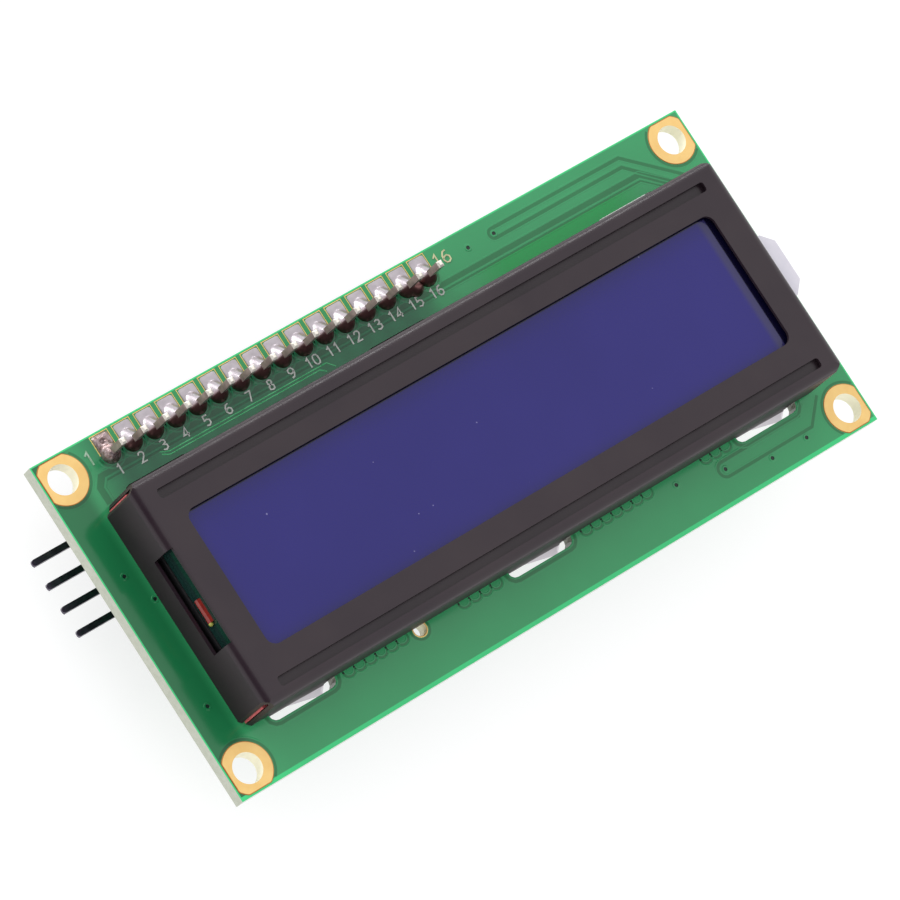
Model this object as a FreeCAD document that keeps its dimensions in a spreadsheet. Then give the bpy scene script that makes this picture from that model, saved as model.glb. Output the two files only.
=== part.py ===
import FreeCAD, Part
import os
import re
import Sketcher

# Two-row character display module with a serial adapter board soldered behind it.
# Frame: origin in the middle of the four mounting holes, on the front face of the
# main board. +Z points out of the display, +X along the long side, +Y to the pin row.
# All sizes are in millimetres.

os.makedirs("parts", exist_ok=True)
V = FreeCAD.Vector
doc = FreeCAD.newDocument("character_display")

# Driving sizes: alias, value, what it measures.
SIZES = [
    ("board_length", 79.5, "main board, long side"),
    ("board_width", 35.8, "main board, short side"),
    ("board_thickness", 1.6, "main board"),
    ("hole_inset_x", 2.25, "mounting hole from the board's short side"),
    ("hole_inset_y", 2.4, "mounting hole from the board's long side"),
    ("hole_bore", 3.0, "clear bore of a plated mounting hole"),
    ("land_diameter", 5.0, "gold plated land round a mounting hole"),
    ("land_edge_gap", 0.25, "bare strip between a land and the board's edge"),
    ("plating", 0.05, "thickness of the plated lands and hole walls"),
    ("pin_pitch", 2.54, "spacing of all pin rows"),
    ("pin_total", 16, "pins in the long row"),
    ("first_pin_from_hole", 5.5, "first pin from the left mounting hole"),
    ("pin_side", 0.64, "square pin"),
    ("pin_taper", 0.18, "cut edges at a pin's ends"),
    ("pin_bore", 1.0, "drilled hole for a pin"),
    ("pin_front_reach", 3.6, "pin standing out of the main board's front"),
    ("pin_rear_reach", 1.4, "pin standing out of the adapter board's rear"),
    ("insulator_size", 2.54, "height and width of a pin row's insulator"),
    ("insulator_notch", 0.45, "corner notch between two cells of an insulator"),
    ("joint_radius", 1.05, "foot of a solder joint"),
    ("joint_height", 1.3, "solder joint on the main board"),
    ("joint_film", 0.08, "tinned pad under a joint"),
    ("joint_pad_width", 1.95, "tinned pad, along the row"),
    ("joint_pad_edge_gap", 0.3, "tinned pad from the board's top edge"),
    ("low_joint_height", 0.9, "solder joint on the adapter board"),
    ("bezel_margin_x", 3.95, "bezel from the board's short side"),
    ("bezel_margin_y", 6.0, "bezel from the board's long side, on average"),
    ("bezel_height", 6.6, "bezel above the main board"),
    ("bezel_sheet", 0.35, "sheet of the bezel"),
    ("bezel_bend", 0.9, "outer bend radius of the bezel"),
    ("bezel_clip", 0.9, "clipped corner of the bezel"),
    ("bezel_drop", 0.5, "bezel's middle below the mounting holes' middle"),
    ("corner_slit", 0.65, "open corner between two folded walls"),
    ("window_margin_x", 3.55, "window from the bezel's short side"),
    ("window_margin_y", 4.65, "window from the bezel's long side"),
    ("window_corner", 1.0, "window's corner radius"),
    ("groove_margin", 2.3, "pressed groove's end from the bezel's short side"),
    ("groove_width", 1.0, "pressed groove"),
    ("groove_depth", 0.6, "pressed groove, whose underside rests on the glass"),
    ("upper_groove_margin", 2.15, "upper groove from the bezel's long side"),
    ("lower_groove_margin", 1.6, "lower groove from the bezel's long side"),
    ("side_window_length", 10.0, "filling window in the left wall"),
    ("side_window_sill", 3.1, "filling window's lower edge above the board"),
    ("side_window_lap", 0.6, "filling window's reach into the top face"),
    ("tab_end", 6.85, "last tabs from the bezel's short side"),
    ("tab_width", 6.8, "bezel tab"),
    ("tab_twist_length", 1.2, "twisted end of a bezel tab"),
    ("tab_twist", 12.0, "turn of a tab's end, in degrees"),
    ("slot_length", 7.8, "board slot for a tab"),
    ("slot_width", 1.5, "board slot for a tab"),
    ("slot_shift", 0.22, "slot's middle outside the bezel wall's middle"),
    ("glass_gap_x", 0.55, "glass to the bezel's short wall"),
    ("glass_gap_y", 0.25, "front glass to the bezel's long wall"),
    ("contact_ledge", 2.5, "front glass past the rear glass, with the contacts"),
    ("glass_thickness", 1.1, "each glass plate"),
    ("polarizer_margin_x", 1.4, "polarizer films from the glass ends"),
    ("polarizer_margin_y", 0.7, "polarizer films from the rear glass sides"),
    ("polarizer_thickness", 0.2, "each polarizer film"),
    ("seal_length", 2.4, "drop of resin over the cell's filling port"),
    ("seal_height", 1.0, "drop of resin over the cell's filling port"),
    ("seal_reach", 0.35, "drop of resin, out of the glass edge"),
    ("strip_width", 2.0, "elastomer contact strip"),
    ("strip_clearance", 0.1, "contact strip to the bezel wall"),
    ("strip_end_gap", 0.2, "contact strip's end to the bezel wall"),
    ("guide_gap", 1.4, "light guide shorter than the glass"),
    ("guide_margin", 0.3, "light guide from the rear glass sides"),
    ("reflector_thickness", 0.2, "white film under the light guide"),
    ("diffuser_thickness", 0.2, "diffusing film over the light guide"),
    ("lamp_width", 6.8, "lamp end of the backlight"),
    ("lamp_reach", 3.2, "lamp end beyond the bezel's outside"),
    ("lamp_chamfer", 1.2, "lamp end's cut corners"),
    ("lamp_clearance", 0.3, "bezel opening round the lamp end"),
    ("emitter_length", 1.4, "light emitter"),
    ("emitter_width", 2.0, "light emitter"),
    ("emitter_height", 1.0, "light emitter"),
    ("emitter_spacing", 3.2, "two light emitters"),
    ("lead_side", 0.5, "square lead of the backlight"),
    ("lead_spacing", 2.54, "backlight leads"),
    ("lead_inset", 1.5, "backlight leads from the lamp end's tip"),
    ("spare_hole_x", -14.94, "large plated through hole under the bezel's edge"),
    ("spare_hole_gap", 0.28, "large plated through hole's middle from the bezel"),
    ("spare_hole_bore", 1.4, "large plated through hole"),
    ("dome_diameter", 14.0, "resin dome over a driver chip"),
    ("dome_height", 1.5, "resin dome over a driver chip"),
    ("dome_spacing", 32.0, "two resin domes"),
    ("dome_y", -5.5, "row of resin domes"),
    ("chip_part_pitch", 4.0, "row of chip parts on the main board"),
    ("chip_part_edge", 2.4, "row of chip parts from the board's lower edge"),
    ("chip_part_length", 2.0, "chip resistor or capacitor on the main board"),
    ("chip_part_width", 1.25, "chip resistor or capacitor on the main board"),
    ("chip_part_height", 0.5, "chip resistor or capacitor on the main board"),
    ("small_part_length", 1.6, "chip part on the adapter board"),
    ("small_part_width", 0.8, "chip part on the adapter board"),
    ("small_part_height", 0.45, "chip part on the adapter board"),
    ("adapter_width", 19.0, "adapter board"),
    ("adapter_thickness", 1.6, "adapter board"),
    ("adapter_end", 1.7, "adapter board's short sides from the first and last pin"),
    ("adapter_edge", 1.5, "adapter board's top edge from the pin row"),
    ("expander_length", 10.3, "port expander chip"),
    ("expander_width", 7.5, "port expander chip"),
    ("expander_height", 2.3, "port expander chip"),
    ("chip_gap", 0.1, "moulded chip above its board"),
    ("mould_slope", 7.0, "slope of a moulded chip's sides, in degrees"),
    ("expander_mark", 0.8, "round mark at the chip's first lead"),
    ("expander_mark_inset", 1.2, "round mark from the chip's edges"),
    ("expander_mark_depth", 0.15, "round mark"),
    ("expander_shift_x", -1.05, "port expander chip from the adapter's middle"),
    ("expander_shift_y", -0.7, "port expander chip from the adapter's middle"),
    ("lead_pitch", 1.27, "chip leads"),
    ("lead_width", 0.42, "chip lead"),
    ("lead_sheet", 0.25, "chip lead"),
    ("lead_foot", 0.8, "flat foot of a chip lead"),
    ("lead_span", 10.4, "tip to tip over two rows of chip leads"),
    ("trimmer_side", 6.7, "contrast trimmer, both sides"),
    ("trimmer_height", 4.9, "contrast trimmer above its board"),
    ("trimmer_standoff", 0.4, "feet of the contrast trimmer"),
    ("trimmer_corner", 0.4, "cut corner of the contrast trimmer"),
    ("trimmer_foot", 1.0, "foot of the contrast trimmer"),
    ("trimmer_foot_inset", 0.9, "foot's middle from the trimmer's side"),
    ("trimmer_pin_depth", 1.5, "trimmer's pins inside its body"),
    ("trimmer_inset", 9.6, "contrast trimmer from the adapter's right side"),
    ("trimmer_shift", -2.9, "contrast trimmer from the adapter's middle"),
    ("rotor_diameter", 4.2, "trimmer's turning screw"),
    ("rotor_thickness", 1.2, "trimmer's turning screw"),
    ("rotor_clearance", 0.05, "trimmer's screw in its well, all round"),
    ("rotor_slot_length", 3.0, "cross slot in the screw"),
    ("rotor_slot_width", 0.6, "cross slot in the screw"),
    ("rotor_slot_depth", 0.6, "cross slot in the screw"),
    ("connector_reach", 6.0, "connector pin out of its insulator"),
    ("jumper_reach", 5.0, "jumper pin out of its insulator"),
    ("angle_back", 1.5, "right-angle pin behind its insulator"),
    ("angle_bend", 0.6, "bend radius of a right-angle pin's middle line"),
    ("angle_tail", 0.7, "right-angle pin through and past its board"),
    ("connector_inset", 2.44, "connector's holes from the adapter's left side"),
    ("connector_shift", -0.3, "connector from the adapter's middle"),
    ("connector_total", 4, "pins of the connector"),
    ("jumper_inset", 3.4, "jumper's holes from the adapter's right side"),
    ("jumper_shift", 3.7, "jumper from the adapter's middle"),
    ("cap_length", 6.2, "jumper cap"),
    ("cap_width", 4.98, "jumper cap"),
    ("cap_end", 0.8, "closed end of the jumper cap"),
    ("cap_corner", 0.25, "cut edge of the jumper cap"),
    ("cap_gap", 0.2, "jumper cap to its insulator"),
    ("clip_sheet", 0.2, "spring clip inside the jumper cap"),
    ("clip_length", 4.6, "spring clip inside the jumper cap"),
    ("transistor_length", 2.9, "moulded transistor"),
    ("transistor_width", 1.3, "moulded transistor"),
    ("transistor_height", 1.0, "moulded transistor"),
    ("transistor_lead_width", 0.42, "transistor lead"),
    ("transistor_lead_pitch", 1.9, "two leads on one side of the transistor"),
    ("transistor_lead_sheet", 0.12, "transistor lead"),
    ("transistor_span", 2.4, "tip to tip over the transistor's leads"),
    ("transistor_inset", 8.4, "transistor from the adapter's right side"),
    ("transistor_shift", 3.9, "transistor from the adapter's middle"),
    ("resistor_column", 5.6, "adapter's resistors from the connector's holes"),
    ("resistor_pitch", 2.2, "adapter's column of resistors"),
    ("capacitor_offset", 5.6, "adapter's capacitors left of the trimmer"),
    ("capacitor_edge", 1.6, "adapter's lower capacitor and light from its long side"),
    ("capacitor_rise", 5.2, "adapter's upper capacitor above the trimmer"),
    ("light_offset", 2.0, "power light right of the connector's holes"),
]
ALIASES = {alias for alias, number, meaning in SIZES}

sheet = doc.addObject("Spreadsheet::Sheet", "Sizes")
for row, (alias, number, meaning) in enumerate(SIZES, start=1):
    sheet.set("A%d" % row, meaning)
    sheet.set("B%d" % row, str(number))
    sheet.setAlias("B%d" % row, alias)
doc.recompute()


def sized(formula):
    """A formula of plain size names, written for the sheet."""
    return re.sub(r"[a-z_]+", lambda m: "Sizes." + m[0] if m[0] in ALIASES else m[0], formula)


def value(formula):
    return float(sheet.evalExpression(sized(formula)))


def bind(thing, prop, formula):
    thing.setExpression(prop, sized(formula))


# Sizes and places that several pieces share.
HOLE_X = "(board_length / 2 - hole_inset_x)"
HOLE_Y = "(board_width / 2 - hole_inset_y)"
PIN_X = "(first_pin_from_hole - " + HOLE_X + ")"
PIN_Y = HOLE_Y
ROW_LENGTH = "((pin_total - 1) * pin_pitch)"
BEZEL_LENGTH = "(board_length - 2 * bezel_margin_x)"
BEZEL_WIDTH = "(board_width - 2 * bezel_margin_y)"
INNER_LENGTH = "(" + BEZEL_LENGTH + " - 2 * bezel_sheet)"
INNER_WIDTH = "(" + BEZEL_WIDTH + " - 2 * bezel_sheet)"
WINDOW_LENGTH = "(" + BEZEL_LENGTH + " - 2 * window_margin_x)"
WINDOW_WIDTH = "(" + BEZEL_WIDTH + " - 2 * window_margin_y)"
GROOVE_LENGTH = "(" + BEZEL_LENGTH + " - 2 * groove_margin)"
MIDDLE_Y = "-bezel_drop"
WALL_Y = "(" + BEZEL_WIDTH + " / 2 - bezel_sheet / 2)"
GLASS_LENGTH = "(" + INNER_LENGTH + " - 2 * glass_gap_x)"
FRONT_GLASS_WIDTH = "(" + INNER_WIDTH + " - 2 * glass_gap_y)"
REAR_GLASS_WIDTH = "(" + FRONT_GLASS_WIDTH + " - 2 * contact_ledge)"
FILM_LENGTH = "(" + GLASS_LENGTH + " - 2 * polarizer_margin_x)"
FILM_WIDTH = "(" + REAR_GLASS_WIDTH + " - 2 * polarizer_margin_y)"
GUIDE_LENGTH = "(" + GLASS_LENGTH + " - guide_gap)"
GUIDE_WIDTH = "(" + REAR_GLASS_WIDTH + " - 2 * guide_margin)"
GLASS_TOP = "(bezel_height - bezel_sheet - groove_depth)"
GUIDE_TOP = "(" + GLASS_TOP + " - 2 * glass_thickness - polarizer_thickness)"
LAMP_TIP = "(" + BEZEL_LENGTH + " / 2 + lamp_reach)"
LEAD_X = "(" + LAMP_TIP + " - lead_inset)"
ADAPTER_FRONT = "(-board_thickness - insulator_size)"
ADAPTER_REAR = "(-board_thickness - insulator_size - adapter_thickness)"
ADAPTER_LENGTH = "(" + ROW_LENGTH + " + 2 * adapter_end)"
ADAPTER_LEFT = "(" + PIN_X + " - adapter_end)"
ADAPTER_RIGHT = "(" + ADAPTER_LEFT + " + " + ADAPTER_LENGTH + ")"
ADAPTER_X = "(" + ADAPTER_LEFT + " + " + ADAPTER_LENGTH + " / 2)"
ADAPTER_Y = "(" + PIN_Y + " + adapter_edge - adapter_width / 2)"
CONNECTOR_X = "(" + ADAPTER_LEFT + " + connector_inset)"
CONNECTOR_Y = "(" + ADAPTER_Y + " + connector_shift)"
JUMPER_X = "(" + ADAPTER_RIGHT + " - jumper_inset)"
JUMPER_Y = "(" + ADAPTER_Y + " + jumper_shift)"
TRIMMER_X = "(" + ADAPTER_RIGHT + " - trimmer_inset)"
TRIMMER_Y = "(" + ADAPTER_Y + " + trimmer_shift)"
SIDES = (" - ", " + ")
OTHER = {" - ": " + ", " + ": " - "}

nodes = []


def keep(thing, label):
    """Names a finished sub-part; its label is the name of its file."""
    thing.Label = label
    nodes.append(thing)
    return thing


def put(thing, x="0", y="0", z="0", flip=False, turn=0.0):
    """Places a sub-part; flip lays it on the rear side of a board, facing -Z."""
    rotation = FreeCAD.Rotation(V(0, 0, 1), turn)
    if flip:
        rotation = rotation * FreeCAD.Rotation(V(1, 0, 0), 180)
    thing.Placement = FreeCAD.Placement(V(0, 0, 0), rotation)
    bind(thing, "Placement.Base.x", x)
    bind(thing, "Placement.Base.y", y)
    bind(thing, "Placement.Base.z", z)
    return thing


def link_to(source, **place):
    """A further copy of a piece at its own place."""
    link = doc.addObject("App::Link", source.Name + "_copy")
    link.LinkedObject = source
    return put(link, **place)


def copies(label, source, places):
    """One node of like pieces, each a link to the source."""
    group = doc.addObject("Part::Compound", label)
    group.Links = [link_to(source, **place) for place in places]
    return keep(group, label)


def common(label, base, tool):
    """A node made of what two pieces share."""
    shared = doc.addObject("Part::Common", label)
    shared.Base = base
    shared.Tool = tool
    return keep(shared, label)


def new_body(name):
    return doc.addObject("PartDesign::Body", name)


def origin_part(body, role):
    return next(part for part in body.Origin.OriginFeatures if part.Role == role)


def new_sketch(body, name, plane="XY_Plane", offset="0"):
    sketch = body.newObject("Sketcher::SketchObject", name)
    sketch.AttachmentSupport = [(origin_part(body, plane), "")]
    sketch.MapMode = "FlatFace"
    bind(sketch, "AttachmentOffset.Base.z", offset)
    return sketch


def hold(sketch, points):
    """Holds points of a sketch, each an edge, its end and a pair of formulas."""
    formulas = []
    held = []
    for edge, end, x, y in points:
        for kind, formula in (("DistanceX", x), ("DistanceY", y)):
            formulas.append(formula)
            held.append(Sketcher.Constraint(kind, edge, end, value(formula)))
    for number, formula in zip(sketch.addConstraint(held), formulas):
        bind(sketch, "Constraints[%d]" % number, formula)


def outline(sketch, corners):
    """Adds a closed run of straight edges through the corners."""
    first = sketch.GeometryCount
    total = len(corners)
    points = [V(value(x), value(y), 0) for x, y in corners]
    sketch.addGeometry([Part.LineSegment(points[i - 1], points[i]) for i in range(total)], False)
    sketch.addConstraint([Sketcher.Constraint("Coincident", first + i, 2, first + (i + 1) % total, 1)
                          for i in range(total)])
    hold(sketch, [(first + i, 2, x, y) for i, (x, y) in enumerate(corners)])


def rectangle(sketch, length, width, x="0", y="0"):
    """Adds a rectangle about its middle."""
    left, right = (x + sign + "(" + length + ") / 2" for sign in (" - ", " + "))
    low, high = (y + sign + "(" + width + ") / 2" for sign in (" - ", " + "))
    outline(sketch, [(left, low), (right, low), (right, high), (left, high)])


def circle(sketch, radius, x="0", y="0"):
    edge = sketch.GeometryCount
    sketch.addGeometry(Part.Circle(V(value(x), value(y), 0), V(0, 0, 1), value(radius)), False)
    hold(sketch, [(edge, 3, x, y)])
    number = sketch.addConstraint(Sketcher.Constraint("Radius", edge, value(radius)))
    bind(sketch, "Constraints[%d]" % number, radius)


def pad(body, sketch, length, down=False, taper=None):
    feature = body.newObject("PartDesign::Pad", "Pad")
    feature.Profile = sketch
    bind(feature, "Length", length)
    feature.Reversed = down
    if taper:
        bind(feature, "TaperAngle", taper)
    doc.recompute()
    return feature


def pocket(body, sketch, length, up=False):
    """Cuts from the sketch, down unless up is set, and makes sure that it cut."""
    before = body.Shape.Volume
    feature = body.newObject("PartDesign::Pocket", "Pocket")
    feature.Profile = sketch
    bind(feature, "Length", length)
    feature.Reversed = up
    doc.recompute()
    if not body.Shape.Volume < before - 1e-4:
        raise ValueError(body.Name + ": " + sketch.Name + " cuts nothing")
    return feature


def row_of(body, feature, count, span, axis="X_Axis"):
    """Repeats a feature along an axis of its body."""
    pattern = body.newObject("PartDesign::LinearPattern", "Row")
    pattern.Originals = [feature]
    pattern.Direction = (origin_part(body, axis), [""])
    bind(pattern, "Length", span)
    bind(pattern, "Occurrences", count)
    body.Tip = pattern
    doc.recompute()
    return pattern


def edges_where(feature, test):
    return ["Edge%d" % n for n, edge in enumerate(feature.Shape.Edges, 1) if test(edge)]


def faces_where(feature, test):
    return ["Face%d" % n for n, face in enumerate(feature.Shape.Faces, 1) if test(face)]


def upright(edge):
    ends = [v.Point for v in edge.Vertexes]
    return len(ends) == 2 and edge.Length > 1e-6 and (ends[1] - ends[0]).cross(V(0, 0, 1)).Length < 1e-6


def turned(body, profile):
    """Revolves a profile about the body's upright axis."""
    feature = body.newObject("PartDesign::Revolution", "Revolution")
    feature.Profile = profile
    feature.ReferenceAxis = (origin_part(body, "Z_Axis"), [""])
    feature.Angle = 360
    doc.recompute()
    return feature


def polygon(sketch, radius, sides, x="0", y="0"):
    """Adds a regular polygon with two flats along X, given its corner radius."""
    step = 360 / sides
    angles = [step * (i + 0.5) for i in range(sides)]
    outline(sketch, [("%s + %s * cos(%g)" % (x, radius, a), "%s + %s * sin(%g)" % (y, radius, a)) for a in angles])


def long_slot(sketch, length, width, x="0", y="0"):
    """Adds a slot along X whose round ends are made of short flats."""
    corners = []
    for sign, start in ((" + ", -90), (" - ", 90)):
        middle = x + sign + "(" + length + " - " + width + ") / 2"
        for a in range(start, start + 181, 30):
            corners.append(("%s + %s / 2 * cos(%d)" % (middle, width, a), "%s + %s / 2 * sin(%d)" % (y, width, a)))
    outline(sketch, corners)


def mound(body, radius, height, sides, rings):
    """Stacks sloping layers into a rounded mound; rings are shares of its height and radius."""
    for (low, wide), (high, narrow) in zip(rings, rings[1:]):
        level = "%s * %g" % (height, low)
        rise = "%s * %g" % (height, high - low)
        run = "%s * %g * cos(%g)" % (radius, wide - narrow, 180 / sides)
        ring = new_sketch(body, "ring", offset=level)
        polygon(ring, "%s * %g" % (radius, wide), sides)
        plane = body.newObject("PartDesign::Plane", "level")
        plane.AttachmentSupport = [(origin_part(body, "XY_Plane"), "")]
        plane.MapMode = "FlatFace"
        bind(plane, "AttachmentOffset.Base.z", level)
        layer = pad(body, ring, rise)
        middle = value(height) * (low + high) / 2
        slope = body.newObject("PartDesign::Draft", "Slope")
        slope.Base = (layer, faces_where(layer, lambda f: abs(f.normalAt(0, 0).z) < 1e-6
                                         and abs(f.CenterOfMass.z - middle) < 1e-6))
        slope.NeutralPlane = (plane, [""])
        bind(slope, "Angle", "atan(%s / (%s))" % (run, rise))
        doc.recompute()


def box_seed(name, length, width, height):
    """A plain box for copies, its first corner at the origin."""
    box = doc.addObject("Part::Box", name)
    bind(box, "Length", length)
    bind(box, "Width", width)
    bind(box, "Height", height)
    return box


def rounded(body, feature, radius, test):
    fillet = body.newObject("PartDesign::Fillet", "Fillet")
    fillet.Base = (feature, edges_where(feature, test))
    bind(fillet, "Radius", radius)
    doc.recompute()
    return fillet


def chamfered(body, feature, size, test):
    chamfer = body.newObject("PartDesign::Chamfer", "Chamfer")
    chamfer.Base = (feature, edges_where(feature, test))
    bind(chamfer, "Size", size)
    doc.recompute()
    return chamfer


def block(label, length, width, height, x="0", y="0", z="0"):
    """A plain plate or strip, its middle at x and y and its foot at z."""
    box = box_seed(label, length, width, height)
    put(box, x + " - (" + length + ") / 2", y + " - (" + width + ") / 2", z)
    return keep(box, label)


# Main board: slotted for the bezel's tabs, drilled for pins, leads and screws.
def make_main_board():
    body = new_body("main_board")
    face = new_sketch(body, "board_outline")
    rectangle(face, "board_length", "board_width")
    pad(body, face, "board_thickness", down=True)
    screws = new_sketch(body, "mounting_holes")
    for x, y in hole_places():
        circle(screws, "hole_bore / 2 + plating", x, y)
    pocket(body, screws, "board_thickness")
    pin_hole = new_sketch(body, "first_pin_hole")
    polygon(pin_hole, "pin_bore / 2", 8, PIN_X, PIN_Y)
    row_of(body, pocket(body, pin_hole, "board_thickness"), "pin_total", ROW_LENGTH)
    drilled = new_sketch(body, "lead_and_spare_holes")
    circle(drilled, "spare_hole_bore / 2", "spare_hole_x",
           MIDDLE_Y + " - " + BEZEL_WIDTH + " / 2 - spare_hole_gap")
    for side in SIDES:
        polygon(drilled, "pin_bore / 2", 8, LEAD_X, MIDDLE_Y + side + "lead_spacing / 2")
    pocket(body, drilled, "board_thickness")
    slots = new_sketch(body, "tab_slots")
    for x, y, side in tab_places():
        long_slot(slots, "slot_length", "slot_width", x, y + side + "slot_shift")
    pocket(body, slots, "board_thickness")
    return keep(body, "main_board")


def hole_places():
    return [("0" + end + HOLE_X, "0" + side + HOLE_Y) for end in SIDES for side in SIDES]


def tab_places():
    """Middle of each bezel tab, and the sign of its way out of the bezel."""
    return [("%d * (%s / 2 - tab_end)" % (place, BEZEL_LENGTH), MIDDLE_Y + side + WALL_Y, side)
            for side in SIDES for place in (-1, 0, 1)]


# Plated lands of the mounting holes: a ring on each face, joined by the hole's wall,
# and trimmed flat beside the board's edges.
def make_mounting_lands():
    body = new_body("land_seed")
    section = new_sketch(body, "land_section", "XZ_Plane")
    bore = "hole_bore / 2"
    rim = "land_diameter / 2"
    outline(section, [(bore, "-board_thickness - plating"), (rim, "-board_thickness - plating"),
                      (rim, "-board_thickness"), (bore + " + plating", "-board_thickness"),
                      (bore + " + plating", "0"), (rim, "0"), (rim, "plating"), (bore, "plating")])
    turned(body, section)
    whole = doc.addObject("Part::Compound", "whole_lands")
    whole.Links = [link_to(body, x=x, y=y) for x, y in hole_places()]
    limit = box_seed("land_limit", "board_length - 2 * land_edge_gap", "board_width - 2 * land_edge_gap",
                     "board_thickness + 4 * plating")
    put(limit, "land_edge_gap - board_length / 2", "land_edge_gap - board_width / 2",
        "-board_thickness - 2 * plating")
    common("mounting_hole_lands", whole, limit)


# Bezel: a folded steel sheet with a window, two pressed grooves, open corners, and
# six tabs that pass through the board's slots and are twisted behind it.
def make_bezel():
    body = new_body("bezel_shell")
    foot = new_sketch(body, "outside")
    rectangle(foot, BEZEL_LENGTH, BEZEL_WIDTH, "0", MIDDLE_Y)
    solid = pad(body, foot, "bezel_height")
    top = value("bezel_height")
    rounded(body, solid, "bezel_bend", lambda e: all(abs(v.Z - top) < 1e-6 for v in e.Vertexes))
    inside = new_sketch(body, "inside")
    rectangle(inside, INNER_LENGTH, INNER_WIDTH, "0", MIDDLE_Y)
    hollow = pocket(body, inside, "bezel_height - bezel_sheet", up=True)
    roof = value("bezel_height - bezel_sheet")
    rounded(body, hollow, "bezel_bend - bezel_sheet",
            lambda e: all(abs(v.Z - roof) < 1e-6 for v in e.Vertexes))
    ridges = new_sketch(body, "groove_undersides", offset="bezel_height - bezel_sheet")
    grooves = new_sketch(body, "grooves", offset="bezel_height")
    for offset in (" + (" + BEZEL_WIDTH + " / 2 - upper_groove_margin)",
                   " - (" + BEZEL_WIDTH + " / 2 - lower_groove_margin)"):
        rectangle(ridges, GROOVE_LENGTH + " + 2 * bezel_sheet", "groove_width + 2 * bezel_sheet",
                  "0", MIDDLE_Y + offset)
        rectangle(grooves, GROOVE_LENGTH, "groove_width", "0", MIDDLE_Y + offset)
    pad(body, ridges, "groove_depth", down=True)
    pressed = pocket(body, grooves, "groove_depth")
    groove_end = value(GROOVE_LENGTH + " / 2")
    rounded(body, pressed, "groove_width * 0.3",
            lambda e: upright(e) and abs(abs(e.CenterOfMass.x) - groove_end) < 1e-6
            and e.CenterOfMass.z > roof)
    opening = new_sketch(body, "window", offset="bezel_height")
    rectangle(opening, WINDOW_LENGTH, WINDOW_WIDTH, "0", MIDDLE_Y)
    seen = pocket(body, opening, "2 * bezel_sheet")
    window_end = value(WINDOW_LENGTH + " / 2")
    rounded(body, seen, "window_corner",
            lambda e: upright(e) and abs(abs(e.CenterOfMass.x) - window_end) < 1e-6)
    filling = new_sketch(body, "filling_window", offset="side_window_sill")
    rectangle(filling, "2 * side_window_lap", "side_window_length",
              "-" + BEZEL_LENGTH + " / 2", MIDDLE_Y)
    pocket(body, filling, "bezel_height", up=True)
    lamp = new_sketch(body, "lamp_opening")
    rectangle(lamp, "4 * bezel_sheet", "lamp_width + 2 * lamp_clearance",
              BEZEL_LENGTH + " / 2", MIDDLE_Y)
    pocket(body, lamp, GUIDE_TOP + " + lamp_clearance", up=True)
    slits = new_sketch(body, "corner_slits")
    clips = new_sketch(body, "clipped_corners", offset="bezel_height")
    for end in SIDES:
        for side in SIDES:
            x = "0" + end + BEZEL_LENGTH + " / 2"
            y = MIDDLE_Y + side + BEZEL_WIDTH + " / 2"
            rectangle(slits, "2 * bezel_bend", "corner_slit - bezel_sheet",
                      x, y + OTHER[side] + "(bezel_sheet + corner_slit) / 2")
            outline(clips, [(x, y), (x + OTHER[end] + "bezel_clip", y), (x, y + OTHER[side] + "bezel_clip")])
    pocket(body, slits, "bezel_height - bezel_bend", up=True)
    pocket(body, clips, "bezel_height")

    tab = new_body("tab_seed")
    straight = new_sketch(tab, "tab_section")
    rectangle(straight, "tab_width", "bezel_sheet")
    pad(tab, straight, "board_thickness", down=True)
    upper = new_sketch(tab, "twist_start", offset="-board_thickness")
    rectangle(upper, "tab_width", "bezel_sheet")
    lower = new_sketch(tab, "twist_end", offset="-board_thickness - tab_twist_length")
    rectangle(lower, "tab_width", "bezel_sheet")
    bind(lower, "AttachmentOffset.Rotation.Angle", "-tab_twist")
    twist = tab.newObject("PartDesign::AdditiveLoft", "Twist")
    twist.Profile = upper
    twist.Sections = [lower]
    twist.Ruled = True
    doc.recompute()
    whole = doc.addObject("Part::MultiFuse", "bezel")
    whole.Shapes = [body] + [link_to(tab, x=x, y=y) for x, y, side in tab_places()]
    return keep(whole, "bezel")


# Liquid crystal cell: two glass plates, a film on each, and the resin drop that
# closes its filling port behind the window in the bezel's left wall.
def make_cell():
    block("front_polarizer", FILM_LENGTH, FILM_WIDTH, "polarizer_thickness",
          y=MIDDLE_Y, z=GLASS_TOP)
    block("front_glass", GLASS_LENGTH, FRONT_GLASS_WIDTH, "glass_thickness",
          y=MIDDLE_Y, z=GLASS_TOP + " - glass_thickness")
    block("rear_glass", GLASS_LENGTH, REAR_GLASS_WIDTH, "glass_thickness",
          y=MIDDLE_Y, z=GLASS_TOP + " - 2 * glass_thickness")
    block("rear_polarizer", FILM_LENGTH, FILM_WIDTH, "polarizer_thickness",
          y=MIDDLE_Y, z=GUIDE_TOP)
    drop = new_body("filling_port_seal")
    section = new_sketch(drop, "drop_section", "XZ_Plane")
    half = "seal_height / 2"
    outline(section, [("0", "-" + half), ("0", half), ("-seal_reach * 0.7", half + " * 0.7"),
                      ("-seal_reach", "0"), ("-seal_reach * 0.7", "-" + half + " * 0.7")])
    pad(drop, section, "seal_length")
    put(drop, "-" + GLASS_LENGTH + " / 2", MIDDLE_Y, GLASS_TOP + " - glass_thickness")
    keep(drop, "filling_port_seal")


# Elastomer contact strips stand on the board's contacts and press on the front glass.
def make_contact_strips():
    for label, side in (("upper_contact_strip", " + "), ("lower_contact_strip", " - ")):
        block(label, INNER_LENGTH + " - 2 * strip_end_gap", "strip_width", GLASS_TOP + " - glass_thickness",
              y=MIDDLE_Y + side + "(" + INNER_WIDTH + " / 2 - strip_clearance - strip_width / 2)")


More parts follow.
